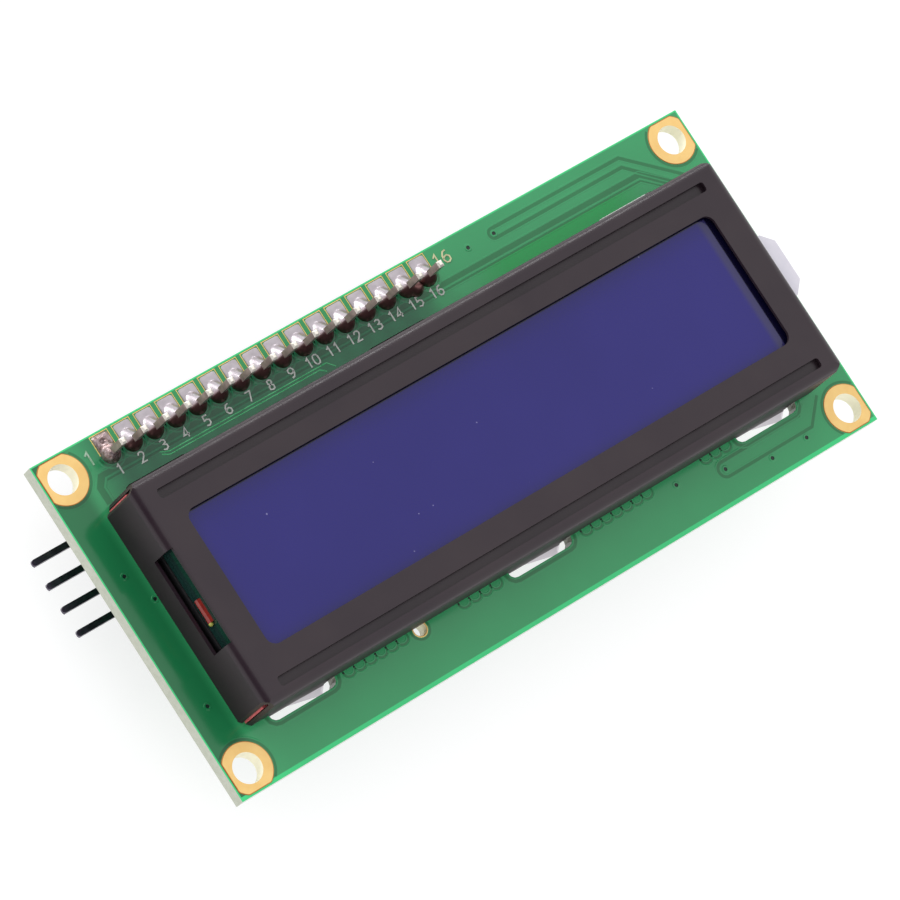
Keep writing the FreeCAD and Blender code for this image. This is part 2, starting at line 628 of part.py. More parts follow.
# Backlight: a light guide between two films, lit from a lamp end at the right.
def make_backlight():
    middle_x = "-guide_gap / 2"
    block("reflector_film", GUIDE_LENGTH, GUIDE_WIDTH, "reflector_thickness", x=middle_x, y=MIDDLE_Y)
    block("light_guide", GUIDE_LENGTH, GUIDE_WIDTH,
          GUIDE_TOP + " - reflector_thickness - diffuser_thickness",
          x=middle_x, y=MIDDLE_Y, z="reflector_thickness")
    block("diffuser_film", GUIDE_LENGTH, GUIDE_WIDTH, "diffuser_thickness",
          x=middle_x, y=MIDDLE_Y, z=GUIDE_TOP + " - diffuser_thickness")
    root = "(" + GUIDE_LENGTH + " - " + GLASS_LENGTH + " / 2)"
    low = MIDDLE_Y + " - lamp_width / 2"
    high = MIDDLE_Y + " + lamp_width / 2"
    body = new_body("lamp_housing")
    shape = new_sketch(body, "lamp_outline")
    outline(shape, [(root, low), (LAMP_TIP + " - lamp_chamfer", low), (LAMP_TIP, low + " + lamp_chamfer"),
                    (LAMP_TIP, high + " - lamp_chamfer"), (LAMP_TIP + " - lamp_chamfer", high), (root, high)])
    pad(body, shape, GUIDE_TOP)
    emitter_z = "(" + GUIDE_TOP + " - emitter_height) / 2"
    wells = new_sketch(body, "emitter_wells", offset=emitter_z)
    holes = new_sketch(body, "lead_holes")
    for side in SIDES:
        rectangle(wells, "emitter_length", "emitter_width", root + " + emitter_length / 2",
                  MIDDLE_Y + side + "emitter_spacing / 2")
        rectangle(holes, "lead_side", "lead_side", LEAD_X, MIDDLE_Y + side + "lead_spacing / 2")
    pocket(body, wells, "emitter_height", up=True)
    pocket(body, holes, GUIDE_TOP + " / 2", up=True)
    keep(body, "lamp_housing")
    emitter = box_seed("emitter_seed", "emitter_length", "emitter_width", "emitter_height")
    copies("light_emitters", emitter,
           [dict(x=root, y=MIDDLE_Y + side + "emitter_spacing / 2 - emitter_width / 2", z=emitter_z)
            for side in SIDES])
    lead = box_seed("lead_seed", "lead_side", "lead_side", GUIDE_TOP + " / 2 + board_thickness + low_joint_height")
    copies("backlight_leads", lead,
           [dict(x=LEAD_X + " - lead_side / 2", y=MIDDLE_Y + side + "lead_spacing / 2 - lead_side / 2",
                 z="-board_thickness - low_joint_height") for side in SIDES])


# Shapes of mounds, as shares of their height and of their foot's radius.
OPEN_JOINT = ((0, 1), (0.4, 0.7), (1, 0.52))
RESIN_DOME = ((0, 1), (0.4, 0.82), (0.75, 0.55), (1, 0.15))


# Solder joint round a square pin that stands out of it.
def open_joint(name, side):
    body = new_body(name)
    mound(body, "joint_radius", "low_joint_height", 8, OPEN_JOINT)
    way = new_sketch(body, "pin_way")
    rectangle(way, side, side)
    pocket(body, way, "low_joint_height", up=True)
    return body


# Row of sixteen pins that joins the two boards, and its solder joints.
def make_pin_row():
    places = [PIN_X + " + %d * pin_pitch" % n for n in range(int(value("pin_total")))]
    pin = square_pin("row_pin_seed", "pin_front_reach + board_thickness + insulator_size"
                     " + adapter_thickness + pin_rear_reach")
    copies("row_pins", pin, [dict(x=x, y=PIN_Y, z=ADAPTER_REAR + " - pin_rear_reach") for x in places])
    insulator = insulator_body("row_insulator", "pin_total")
    put(insulator, PIN_X, PIN_Y, ADAPTER_FRONT)
    keep(insulator, "row_insulator")
    joint = new_body("front_joint_seed")
    mound(joint, "joint_radius", "joint_height", 10, OPEN_JOINT)
    film = new_sketch(joint, "tinned_pad")
    reach = "(board_width / 2 - joint_pad_edge_gap - " + PIN_Y + ")"
    rectangle(film, "joint_pad_width", reach, "0", reach + " / 2")
    pad(joint, film, "joint_film")
    way = new_sketch(joint, "pin_way")
    rectangle(way, "pin_side", "pin_side")
    pocket(joint, way, "joint_height", up=True)
    copies("front_solder_joints", joint, [dict(x=x, y=PIN_Y) for x in places])
    rear = open_joint("rear_joint_seed", "pin_side")
    copies("rear_solder_joints", rear, [dict(x=x, y=PIN_Y, z=ADAPTER_REAR, flip=True) for x in places])
    lead_joint = open_joint("lead_joint_seed", "lead_side")
    copies("backlight_solder_joints", lead_joint,
           [dict(x=LEAD_X, y=MIDDLE_Y + side + "lead_spacing / 2", z="-board_thickness", flip=True)
            for side in SIDES])


# Square pin with cut edges at both ends, standing on the origin.
def square_pin(name, length):
    body = new_body(name)
    section = new_sketch(body, "pin_section")
    rectangle(section, "pin_side", "pin_side")
    stick = pad(body, section, length)
    chamfered(body, stick, "pin_taper", lambda e: not upright(e))
    return body


# Insulator of a pin row: one notched cell per pin, from the first pin along +X.
def insulator_body(name, count):
    body = new_body(name)
    cell = new_sketch(body, "cell")
    far = "insulator_size / 2"
    near = far + " - insulator_notch"
    edge = "pin_pitch / 2"
    step = edge + " - insulator_notch"
    outline(cell, [("-(" + step + ")", "-" + far), (step, "-" + far), (edge, "-(" + near + ")"), (edge, near),
                   (step, far), ("-(" + step + ")", far), ("-" + edge, near), ("-" + edge, "-(" + near + ")")])
    span = "(" + count + " - 1) * pin_pitch"
    row_of(body, pad(body, cell, "insulator_size"), count, span)
    way = new_sketch(body, "pin_way")
    rectangle(way, "pin_side", "pin_side")
    row_of(body, pocket(body, way, "insulator_size", up=True), count, span)
    return body


# Rear of the main board: two resin domes over the driver chips, and a row of chip parts.
def make_board_rear():
    resin = new_body("resin_dome_seed")
    mound(resin, "(dome_diameter / 2)", "dome_height", 24, RESIN_DOME)
    copies("driver_resin_domes", resin,
           [dict(x="0" + side + "dome_spacing / 2", y="dome_y", z="-board_thickness", flip=True) for side in SIDES])
    chip = box_seed("board_chip_seed", "chip_part_length", "chip_part_width", "chip_part_height")
    for label, steps in (("board_resistors", range(-4, 3)), ("board_capacitors", (3, 4))):
        copies(label, chip, [dict(x="%d * chip_part_pitch - chip_part_length / 2" % n,
                                  y="chip_part_edge + chip_part_width / 2 - board_width / 2",
                                  z="-board_thickness", flip=True) for n in steps])


# Adapter board, parallel to the main board, behind its pin row.
def make_adapter_board():
    body = new_body("adapter_board")
    face = new_sketch(body, "adapter_outline", offset=ADAPTER_FRONT)
    rectangle(face, ADAPTER_LENGTH, "adapter_width", ADAPTER_X, ADAPTER_Y)
    pad(body, face, "adapter_thickness", down=True)
    row = new_sketch(body, "first_row_hole", offset=ADAPTER_FRONT)
    polygon(row, "pin_bore / 2", 8, PIN_X, PIN_Y)
    row_of(body, pocket(body, row, "adapter_thickness"), "pin_total", ROW_LENGTH)
    others = new_sketch(body, "other_holes", offset=ADAPTER_FRONT)
    for x, y in connector_places() + jumper_places() + trimmer_places():
        polygon(others, "pin_bore / 2", 8, x, y)
    pocket(body, others, "adapter_thickness")
    return keep(body, "adapter_board")


def connector_places():
    return [(CONNECTOR_X, CONNECTOR_Y + " + (%d - (connector_total - 1) / 2) * pin_pitch" % n)
            for n in range(int(value("connector_total")))]


def jumper_places():
    return [(JUMPER_X, JUMPER_Y + side + "pin_pitch / 2") for side in SIDES]


def trimmer_places():
    return [(TRIMMER_X + " - pin_pitch", TRIMMER_Y), (TRIMMER_X + " + pin_pitch", TRIMMER_Y),
            (TRIMMER_X, TRIMMER_Y + " - pin_pitch")]


# Moulded chip body with sloping sides, its foot at the origin.
def moulded_chip(name, length, width, height):
    body = new_body(name)
    seam = new_sketch(body, "seam", offset="chip_gap + " + height + " / 2")
    rectangle(seam, length, width)
    for down in (False, True):
        pad(body, seam, height + " / 2", down=down, taper="-mould_slope")
    return body


# Bent lead of a moulded chip, beside the chip's middle at +Y.
def bent_lead(name, width, sheet, span, foot, chip_width, chip_height):
    body = new_body(name)
    side = new_sketch(body, "lead_side_view", "YZ_Plane", "-" + width + " / 2")
    tip = span + " / 2"
    knee = tip + " - " + foot
    root = chip_width + " / 2"
    low = "chip_gap + " + chip_height + " / 2 - " + sheet + " / 2"
    high = "chip_gap + " + chip_height + " / 2 + " + sheet + " / 2"
    outline(side, [(tip, "0"), (tip, sheet), (knee + " + " + sheet + " / 2", sheet), (knee, high), (root, high),
                   (root, low), (knee + " - " + sheet, low), (knee + " - " + sheet + " / 2", "0")])
    pad(body, side, width)
    return body


# Port expander chip with two rows of leads.
def make_expander():
    body = moulded_chip("expander_chip", "expander_length", "expander_width", "expander_height")
    mark = new_sketch(body, "first_lead_mark", offset="chip_gap + expander_height")
    polygon(mark, "expander_mark / 2", 12, "expander_mark_inset - expander_length / 2",
            "expander_width / 2 - expander_mark_inset")
    pocket(body, mark, "expander_mark_depth")
    x = ADAPTER_X + " + expander_shift_x"
    y = ADAPTER_Y + " + expander_shift_y"
    put(body, x, y, ADAPTER_REAR, flip=True)
    keep(body, "expander_chip")
    lead = bent_lead("chip_lead_seed", "lead_width", "lead_sheet", "lead_span", "lead_foot",
                     "expander_width", "expander_height")
    copies("expander_leads", lead,
           [dict(x=x + " + (%d - 3.5) * lead_pitch" % n, y=y, z=ADAPTER_REAR, flip=True, turn=turn)
            for turn in (0.0, 180.0) for n in range(8)])


# Transistor that feeds the backlight: a small chip with three leads.
def make_transistor():
    body = moulded_chip("driver_transistor", "transistor_length", "transistor_width", "transistor_height")
    x = ADAPTER_RIGHT + " - transistor_inset"
    y = ADAPTER_Y + " + transistor_shift"
    put(body, x, y, ADAPTER_REAR, flip=True)
    keep(body, "driver_transistor")
    lead = bent_lead("transistor_lead_seed", "transistor_lead_width", "transistor_lead_sheet",
                     "transistor_span", "transistor_lead_width", "transistor_width", "transistor_height")
    places = [dict(x=x + side + "transistor_lead_pitch / 2", turn=0.0) for side in SIDES]
    places.append(dict(x=x, turn=180.0))
    copies("transistor_leads", lead, [dict(y=y, z=ADAPTER_REAR, flip=True, **place) for place in places])


# Contrast trimmer: a square body on feet, with a screw that turns in a round well.
def make_trimmer():
    body = new_body("trimmer_body")
    plan = new_sketch(body, "trimmer_plan", offset="trimmer_standoff")
    rectangle(plan, "trimmer_side", "trimmer_side")
    chamfered(body, pad(body, plan, "trimmer_height - trimmer_standoff"), "trimmer_corner", upright)
    feet = new_sketch(body, "trimmer_feet", offset="trimmer_standoff")
    for end in SIDES:
        for side in SIDES:
            rectangle(feet, "trimmer_foot", "trimmer_foot", "0" + end + "(trimmer_side / 2 - trimmer_foot_inset)",
                      "0" + side + "(trimmer_side / 2 - trimmer_foot_inset)")
    pad(body, feet, "trimmer_standoff", down=True)
    well = new_sketch(body, "screw_well", offset="trimmer_height")
    circle(well, "rotor_diameter / 2 + rotor_clearance")
    pocket(body, well, "rotor_thickness + 2 * rotor_clearance")
    ways = new_sketch(body, "pin_ways", offset="trimmer_standoff")
    for x, y in (("-pin_pitch", "0"), ("pin_pitch", "0"), ("0", "pin_pitch")):
        rectangle(ways, "lead_side", "lead_side", x, y)
    pocket(body, ways, "trimmer_pin_depth", up=True)
    put(body, TRIMMER_X, TRIMMER_Y, ADAPTER_REAR, flip=True)
    keep(body, "trimmer_body")

    screw = new_body("trimmer_screw")
    disc = new_sketch(screw, "screw_disc", offset="trimmer_height - rotor_clearance")
    circle(disc, "rotor_diameter / 2")
    pad(screw, disc, "rotor_thickness", down=True)
    cross = new_sketch(screw, "cross_slot", offset="trimmer_height - rotor_clearance")
    arm = "rotor_slot_length / 2"
    slot = "rotor_slot_width / 2"
    outline(cross, [("-" + arm, "-" + slot), ("-" + slot, "-" + slot), ("-" + slot, "-" + arm), (slot, "-" + arm),
                    (slot, "-" + slot), (arm, "-" + slot), (arm, slot), (slot, slot), (slot, arm),
                    ("-" + slot, arm), ("-" + slot, slot), ("-" + arm, slot)])
    pocket(screw, cross, "rotor_slot_depth")
    put(screw, TRIMMER_X, TRIMMER_Y, ADAPTER_REAR, flip=True)
    keep(screw, "trimmer_screw")

    pin = box_seed("trimmer_pin_seed", "lead_side", "lead_side",
                   "trimmer_pin_depth + trimmer_standoff + adapter_thickness + angle_tail")
    copies("trimmer_pins", pin, [dict(x=x + " - lead_side / 2", y=y + " - lead_side / 2",
                                      z=ADAPTER_REAR + " - trimmer_standoff - trimmer_pin_depth")
                                 for x, y in trimmer_places()])


# Right-angle pin: up through its board, round a bend, and out along -X.
def angle_pin(name, out):
    body = new_body(name)
    foot = "(-adapter_thickness - angle_tail)"
    axis = "(insulator_size / 2)"
    reach = "(angle_back + insulator_size + " + out + ")"
    stem = new_sketch(body, "stem_section", offset=foot)
    rectangle(stem, "pin_side", "pin_side")
    pad(body, stem, axis + " - angle_bend - " + foot)
    corner = new_sketch(body, "bend_section", offset=axis + " - angle_bend")
    rectangle(corner, "pin_side", "pin_side")
    hinge = new_sketch(body, "bend_line", offset=axis + " - angle_bend")
    hinge.addGeometry(Part.LineSegment(V(-value("angle_bend"), -1, 0), V(-value("angle_bend"), 1, 0)), False)
    hold(hinge, [(0, 1, "-angle_bend", "-pin_side"), (0, 2, "-angle_bend", "pin_side")])
    bend = body.newObject("PartDesign::Revolution", "Bend")
    bend.Profile = corner
    bend.ReferenceAxis = (hinge, ["Edge1"])
    bend.Angle = 90
    bend.Reversed = True
    doc.recompute()
    level = new_sketch(body, "level_section", "YZ_Plane", "-angle_bend")
    rectangle(level, "pin_side", "pin_side", "0", axis)
    stick = pad(body, level, reach + " - angle_bend", down=True)
    tip = value(reach)
    chamfered(body, stick, "pin_taper", lambda e: all(abs(v.X + tip) < 1e-6 for v in e.Vertexes))
    return body


# Four-pin connector at the adapter board's left edge, and the jumper at its right.
def make_connectors():
    kinds = (("connector", "connector_total", connector_places(), 0.0, " - angle_back - insulator_size"),
             ("jumper", "2", jumper_places(), 180.0, " + angle_back"))
    for name, count, places, turn, offset in kinds:
        pin = angle_pin(name + "_pin_seed", name + "_reach")
        copies(name + "_pins", pin, [dict(x=x, y=y, z=ADAPTER_REAR, flip=True, turn=turn) for x, y in places])
        insulator = insulator_body(name + "_insulator", count)
        put(insulator, places[0][0] + offset, places[0][1], ADAPTER_REAR + " - insulator_size / 2")
        insulator.Placement.Rotation = FreeCAD.Rotation(V(0, 1, 0), V(0, 0, 1), V(1, 0, 0), "XYZ")
        keep(insulator, name + "_insulator")


# Jumper cap: a plastic shell over a spring clip that bridges the two pins.
def make_jumper_cap():
    start = JUMPER_X + " + angle_back + insulator_size + cap_gap"
    level = ADAPTER_REAR + " - insulator_size / 2"
    body = new_body("jumper_cap")
    section = new_sketch(body, "cap_section", "YZ_Plane")
    rectangle(section, "cap_width", "insulator_size")
    shell = pad(body, section, "cap_length")
    half = value("cap_length / 2")
    chamfered(body, shell, "cap_corner", lambda e: abs(e.CenterOfMass.x - half) < 1e-6)
    way = new_sketch(body, "cap_way", "YZ_Plane")
    rectangle(way, "pin_pitch + pin_side + 2 * clip_sheet", "pin_side + 2 * clip_sheet")
    pocket(body, way, "cap_length - cap_end", up=True)
    put(body, start, JUMPER_Y, level)
    keep(body, "jumper_cap")

    clip = new_body("jumper_clip")
    fold = new_sketch(clip, "clip_fold", "XZ_Plane", "-(pin_pitch + pin_side) / 2")
    back = "cap_length - cap_end"
    front = back + " - clip_length"
    outer = "pin_side / 2 + clip_sheet"
    inner = "pin_side / 2"
    outline(fold, [(front, "-(" + outer + ")"), (back, "-(" + outer + ")"), (back, outer), (front, outer),
                   (front, inner), (back + " - clip_sheet", inner), (back + " - clip_sheet", "-" + inner),
                   (front, "-" + inner)])
    pad(clip, fold, "pin_pitch + pin_side")
    put(clip, start, JUMPER_Y, level)
    keep(clip, "jumper_clip")


# Chip resistors and capacitors of the adapter board, and its power light.
def make_adapter_chips():
    chip = box_seed("small_chip_seed", "small_part_length", "small_part_width", "small_part_height")
    copies("adapter_resistors", chip,
           [dict(x=CONNECTOR_X + " + resistor_column", y=CONNECTOR_Y + " + %d * resistor_pitch" % n,
                 z=ADAPTER_REAR, flip=True) for n in range(-2, 3)])
    low = ADAPTER_Y + " - adapter_width / 2 + capacitor_edge"
    copies("adapter_capacitors", chip,
           [dict(x=TRIMMER_X + " - capacitor_offset", y=y, z=ADAPTER_REAR, flip=True)
            for y in (low, TRIMMER_Y + " + capacitor_rise")])
    light = new_body("power_light")
    for name, length, depth in (("light_base", "small_part_length", "small_part_height / 2"),
                                ("light_lens", "small_part_length / 2", "small_part_height")):
        face = new_sketch(light, name)
        rectangle(face, length, "small_part_width")
        pad(light, face, depth)
    put(light, CONNECTOR_X + " + light_offset", low, ADAPTER_REAR, flip=True)
    keep(light, "power_light")


make_main_board()
make_mounting_lands()
make_bezel()
make_cell()
make_contact_strips()
make_backlight()
make_pin_row()
make_board_rear()
make_adapter_board()
make_expander()
make_transistor()
make_trimmer()
make_connectors()
make_jumper_cap()
make_adapter_chips()
doc.recompute()

for thing in doc.Objects:
    if "Invalid" in thing.State or "Error" in thing.State:
        raise RuntimeError("failed: " + thing.Name + " " + str(thing.State))
for node in nodes:
    if node.Shape.isNull() or not node.Shape.isValid():
        raise RuntimeError("bad shape: " + node.Label)
for node in nodes:
    node.Shape.exportStep("parts/" + node.Label + ".step")
    box = node.Shape.BoundBox
    print("%-26s %2d solids  %9.2f mm3  x %7.2f %7.2f  y %7.2f %7.2f  z %7.2f %7.2f" % (
        node.Label, len(node.Shape.Solids), node.Shape.Volume, box.XMin, box.XMax,
        box.YMin, box.YMax, box.ZMin, box.ZMax))
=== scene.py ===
# %% [markdown]
# # A two-row character display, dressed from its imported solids
# The module is a green circuit board with a black folded steel bezel over a dark blue
# liquid crystal cell, a row of sixteen soldered pins and a small black adapter board
# behind them. The solids already have the right size. This lesson gives them finishes and
# adds what is too small or too soft for plain solids: solder, traces under the lacquer,
# printed numbers, plated rims and tinned ends. Everything is in metres; MM turns the
# millimetres of a data sheet into metres.

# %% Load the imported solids
import math
import random
import bmesh
import bpy
from mathutils import Matrix, Vector, noise


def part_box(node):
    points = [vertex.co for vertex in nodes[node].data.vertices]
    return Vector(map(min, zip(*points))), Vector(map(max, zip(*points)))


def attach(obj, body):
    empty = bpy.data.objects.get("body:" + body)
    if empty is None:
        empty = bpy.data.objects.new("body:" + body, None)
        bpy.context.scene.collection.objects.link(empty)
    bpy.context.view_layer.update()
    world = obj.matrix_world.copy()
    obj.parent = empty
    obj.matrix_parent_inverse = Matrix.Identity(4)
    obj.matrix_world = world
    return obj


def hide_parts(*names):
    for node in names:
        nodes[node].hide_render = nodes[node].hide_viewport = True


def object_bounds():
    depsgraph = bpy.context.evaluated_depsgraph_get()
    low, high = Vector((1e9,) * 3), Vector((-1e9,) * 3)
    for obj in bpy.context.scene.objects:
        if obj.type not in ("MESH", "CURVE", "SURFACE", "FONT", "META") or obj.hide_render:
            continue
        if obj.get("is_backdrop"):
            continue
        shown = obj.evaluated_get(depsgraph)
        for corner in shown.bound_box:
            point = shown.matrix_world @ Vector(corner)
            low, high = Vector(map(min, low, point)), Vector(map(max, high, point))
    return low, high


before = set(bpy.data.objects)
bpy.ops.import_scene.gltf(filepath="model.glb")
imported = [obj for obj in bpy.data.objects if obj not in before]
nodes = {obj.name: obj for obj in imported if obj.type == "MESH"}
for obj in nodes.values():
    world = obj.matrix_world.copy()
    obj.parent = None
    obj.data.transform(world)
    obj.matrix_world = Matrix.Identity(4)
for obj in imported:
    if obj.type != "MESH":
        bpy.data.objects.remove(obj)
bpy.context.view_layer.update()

MM = 0.001
print(len(nodes), "solids loaded")

# %% [markdown]
# ## Where the boards are
# The later pieces are drawn in millimetres on the faces of the solids. Reading those
# faces from the solids' own boxes keeps each added piece on what carries it.

# %% Read the faces that carry other pieces
def box_mm(name):
    low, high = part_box(name)
    return Vector(low) / MM, Vector(high) / MM


board_low, board_high = box_mm("main_board")
adapter_low, adapter_high = box_mm("adapter_board")
bezel_low, bezel_high = box_mm("bezel")
pins_low, pins_high = box_mm("row_pins")
PIN_HALF = 0.32
PIN_PITCH = 2.54
PIN_XS = [pins_low.x + PIN_HALF + number * PIN_PITCH for number in range(16)]
PIN_Y = (pins_low.y + pins_high.y) / 2
BOARD_TOP = board_high.z
BOARD_REAR = board_low.z
ADAPTER_REAR = adapter_low.z
# A face that carries pieces: its height, and whether it looks up or down.
FRONT = (BOARD_TOP, 1)
REAR = (BOARD_REAR, -1)
ADAPTER_FACE = (ADAPTER_REAR, -1)
print("pin 1 at", round(PIN_XS[0], 2), round(PIN_Y, 2), "adapter rear at", round(ADAPTER_REAR, 2))

# %% [markdown]
# ## The camera
# The photograph was taken from far away through a long lens, from the board's left and
# a little below it. Sixteen pins on a known grid fix such a camera well: its place, the
# way it looks and its lens come from them. The small shift is the picture's own framing.

# %% Set up the camera
def add_object(name, data):
    thing = bpy.data.objects.new(name, data)
    bpy.context.scene.collection.objects.link(thing)
    return thing


def make_camera():
    data = bpy.data.cameras.new("photo_camera")
    data.lens = 240.473
    data.sensor_width = 36.0
    data.shift_x = -0.01983
    data.shift_y = 0.02274
    data.clip_start = 0.01
    data.clip_end = 20.0
    camera = add_object("photo_camera", data)
    right = Vector((0.75047809, -0.5414911, 0.37890635))
    down = Vector((-0.43682678, -0.83665074, -0.33045105))
    ahead = Vector((0.49594858, 0.08247984, -0.86442587))
    turn = Matrix((right, -down, -ahead)).transposed().to_4x4()
    camera.matrix_world = Matrix.Translation(Vector((-279.199, -48.434, 483.961)) * MM) @ turn
    bpy.context.scene.camera = camera
    return camera


camera = make_camera()
bpy.context.scene.view_settings.view_transform = "Standard"
print("camera at", [round(c, 3) for c in camera.location])

# %% [markdown]
# ## Short ways to build node trees
# The surround, the floor and every finish are small trees of nodes. One helper feeds a
# socket from another socket or with a plain value, a second adds a node with its settings
# and its inputs, and the others add steps of arithmetic.

# %% Define the node helpers
def feed(tree, slot, thing):
    """Links a socket to the one that feeds it, or gives it a plain value."""
    if isinstance(thing, bpy.types.NodeSocket):
        tree.links.new(thing, slot)
    else:
        slot.default_value = thing


def put(tree, kind, given=None, **settings):
    """A new node with its settings and with its inputs fed."""
    node = tree.nodes.new(kind)
    for label, thing in settings.items():
        setattr(node, label, thing)
    for label, thing in (given or {}).items():
        feed(tree, node.inputs[label], thing)
    return node


def math_node(tree, operation, first, second):
    return put(tree, "ShaderNodeMath", {0: first, 1: second}, operation=operation).outputs[0]


def inverse(tree, share):
    return math_node(tree, "SUBTRACT", 1.0, share)


def largest(tree, first, *others):
    for other in others:
        first = math_node(tree, "MAXIMUM", first, other)
    return first


def smooth_step(tree, value, low, high):
    """Goes softly from 0 to 1 as a value passes from low to high."""
    return put(tree, "ShaderNodeMapRange", {"Value": value, "From Min": low, "From Max": high},
               interpolation_type="SMOOTHSTEP").outputs["Result"]


print("node helpers ready")

# %% [markdown]
# ## Light and floor
# A product like this is shot in a light tent: an even white surround, a larger soft lamp
# behind the top edge for the glints on the solder, and a dark opening on the side that the
# picture is taken from. The opening lies at a fixed place and is there for mirror
# reflections alone: it draws the dark lines in glossy bends. The floor is pale and close
# below, and it looks white to the camera by its own colour, not by more light.

# %% Make the surround
OPENING = Vector((-0.76, -0.13, 0.64))
OPENING_CORE = math.cos(math.radians(22))
OPENING_RIM = math.cos(math.radians(46))


def two_looks(tree, output, plain, seen):
    """Gives plain light one shader, and what looks straight or by a mirror another."""
    path = put(tree, "ShaderNodeLightPath").outputs
    direct = largest(tree, path["Is Camera Ray"], path["Is Glossy Ray"], path["Is Transmission Ray"])
    mix = put(tree, "ShaderNodeMixShader", {"Fac": direct, 1: plain.outputs[0], 2: seen.outputs[0]})
    put(tree, output, {"Surface": mix.outputs[0]})


def tent_opening(tree):
    """How far a mirror reflection falls into the tent's dark opening, 0 to 1."""
    look = put(tree, "ShaderNodeTexCoord").outputs["Generated"]
    dot = put(tree, "ShaderNodeVectorMath", {0: look, 1: OPENING.normalized()}, operation="DOT_PRODUCT")
    inside = smooth_step(tree, dot.outputs["Value"], OPENING_RIM, OPENING_CORE)
    mirror = put(tree, "ShaderNodeLightPath").outputs["Is Glossy Ray"]
    return math_node(tree, "MULTIPLY", inside, mirror)


def make_world():
    world = bpy.data.worlds.new("light_tent")
    world.use_nodes = True
    tree = world.node_tree
    tree.nodes.clear()
    shade = put(tree, "ShaderNodeMix", {"Factor": tent_opening(tree), "A": (1.0, 1.0, 1.0, 1.0),
                                        "B": (0.03, 0.025, 0.035, 1.0)}, data_type="RGBA")
    plain = put(tree, "ShaderNodeBackground", {"Color": (0.97, 0.98, 1.0, 1.0), "Strength": 1.0})
    white = put(tree, "ShaderNodeBackground", {"Color": shade.outputs["Result"], "Strength": 1.0})
    two_looks(tree, "ShaderNodeOutputWorld", plain, white)
    bpy.context.scene.world = world


make_world()
print("surround:", bpy.context.scene.world.name)

# %% Make the lamps and the floor
FLOOR_REACH = 3.0
FLOOR_GAP = 0.0002


def make_lamp(name, place, size, power):
    data = bpy.data.lights.new(name, "AREA")
    data.shape = "SQUARE"
    data.size = size
    data.energy = power
    lamp = add_object(name, data)
    lamp.location = place
    lamp.rotation_euler = (-Vector(place)).to_track_quat("-Z", "Y").to_euler()


def make_floor():
    mesh = bpy.data.meshes.new("pale_floor")
    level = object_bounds()[0][2] - FLOOR_GAP
    corners = ((-1, -1), (1, -1), (1, 1), (-1, 1))
    mesh.from_pydata([(x * FLOOR_REACH, y * FLOOR_REACH, level) for x, y in corners], [], [(0, 1, 2, 3)])
    floor = add_object("pale_floor", mesh)
    material = bpy.data.materials.new("pale_floor")
    material.use_nodes = True
    tree = material.node_tree
    tree.nodes.clear()
    matt = put(tree, "ShaderNodeBsdfDiffuse", {"Color": (0.86, 0.86, 0.86, 1.0)})
    faint = put(tree, "ShaderNodeBsdfDiffuse", {"Color": (0.34, 0.34, 0.34, 1.0)})
    glow = put(tree, "ShaderNodeEmission", {"Strength": 0.74})
    both = put(tree, "ShaderNodeAddShader", {0: faint.outputs[0], 1: glow.outputs[0]})
    two_looks(tree, "ShaderNodeOutputMaterial", matt, both)
    mesh.materials.append(material)
    floor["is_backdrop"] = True
    return floor


make_lamp("rear_softbox", (-0.23, 0.63, 0.21), 0.30, 1.7)
make_lamp("right_softbox", (0.36, 0.57, 0.24), 0.12, 0.4)
floor = make_floor()
print("floor at", round(floor.data.vertices[0].co.z / MM, 2), "mm")

# %% [markdown]
# ## Effects that several finishes share
# Real lacquer, plastic and metal are never one flat value. Three small node groups carry
# what varies: slow patches of tone, a fine grain in the surface, and stray specks of dust.
# Each works on the piece's own coordinates, so a grain has its true size on every piece.

# %% Build the shared groups
def new_group(name, inputs, output):
    tree = bpy.data.node_groups.new(name, "ShaderNodeTree")
    for label, start in inputs.items():
        socket = tree.interface.new_socket(label, in_out="INPUT", socket_type="NodeSocketFloat")
        socket.default_value = start
    tree.interface.new_socket(output, in_out="OUTPUT", socket_type="NodeSocketFloat")
    return tree, tree.nodes.new("NodeGroupInput"), tree.nodes.new("NodeGroupOutput")


def own_place(tree):
    return put(tree, "ShaderNodeTexCoord").outputs["Object"]


def noise_node(tree, size_mm, detail):
    """Noise on the piece's own coordinates whose features are about size_mm wide."""
    scale = math_node(tree, "DIVIDE", 1000.0, size_mm)
    return put(tree, "ShaderNodeTexNoise", {"Vector": own_place(tree), "Scale": scale, "Detail": detail,
                                            "Roughness": 0.55}).outputs["Fac"]


def make_patches():
    """Slow patches: a value that wanders between Low and High."""
    tree, given, result = new_group("tone_patches", {"Size mm": 8.0, "Low": 0.0, "High": 1.0}, "Value")
    size, low, high = given.outputs[:3]
    ramp = put(tree, "ShaderNodeMapRange", {"Value": noise_node(tree, size, 3.0), "From Min": 0.32,
                                            "From Max": 0.68, "To Min": low, "To Max": high})
    feed(tree, result.inputs["Value"], ramp.outputs["Result"])
    return tree


def make_grain():
    """Fine grain: a height in metres, for a Bump node."""
    tree, given, result = new_group("fine_grain", {"Size mm": 0.2, "Depth mm": 0.004}, "Height")
    grain = noise_node(tree, given.outputs["Size mm"], 2.0)
    deep = math_node(tree, "MULTIPLY", grain, given.outputs["Depth mm"])
    feed(tree, result.inputs["Height"], math_node(tree, "MULTIPLY", deep, MM))
    return tree


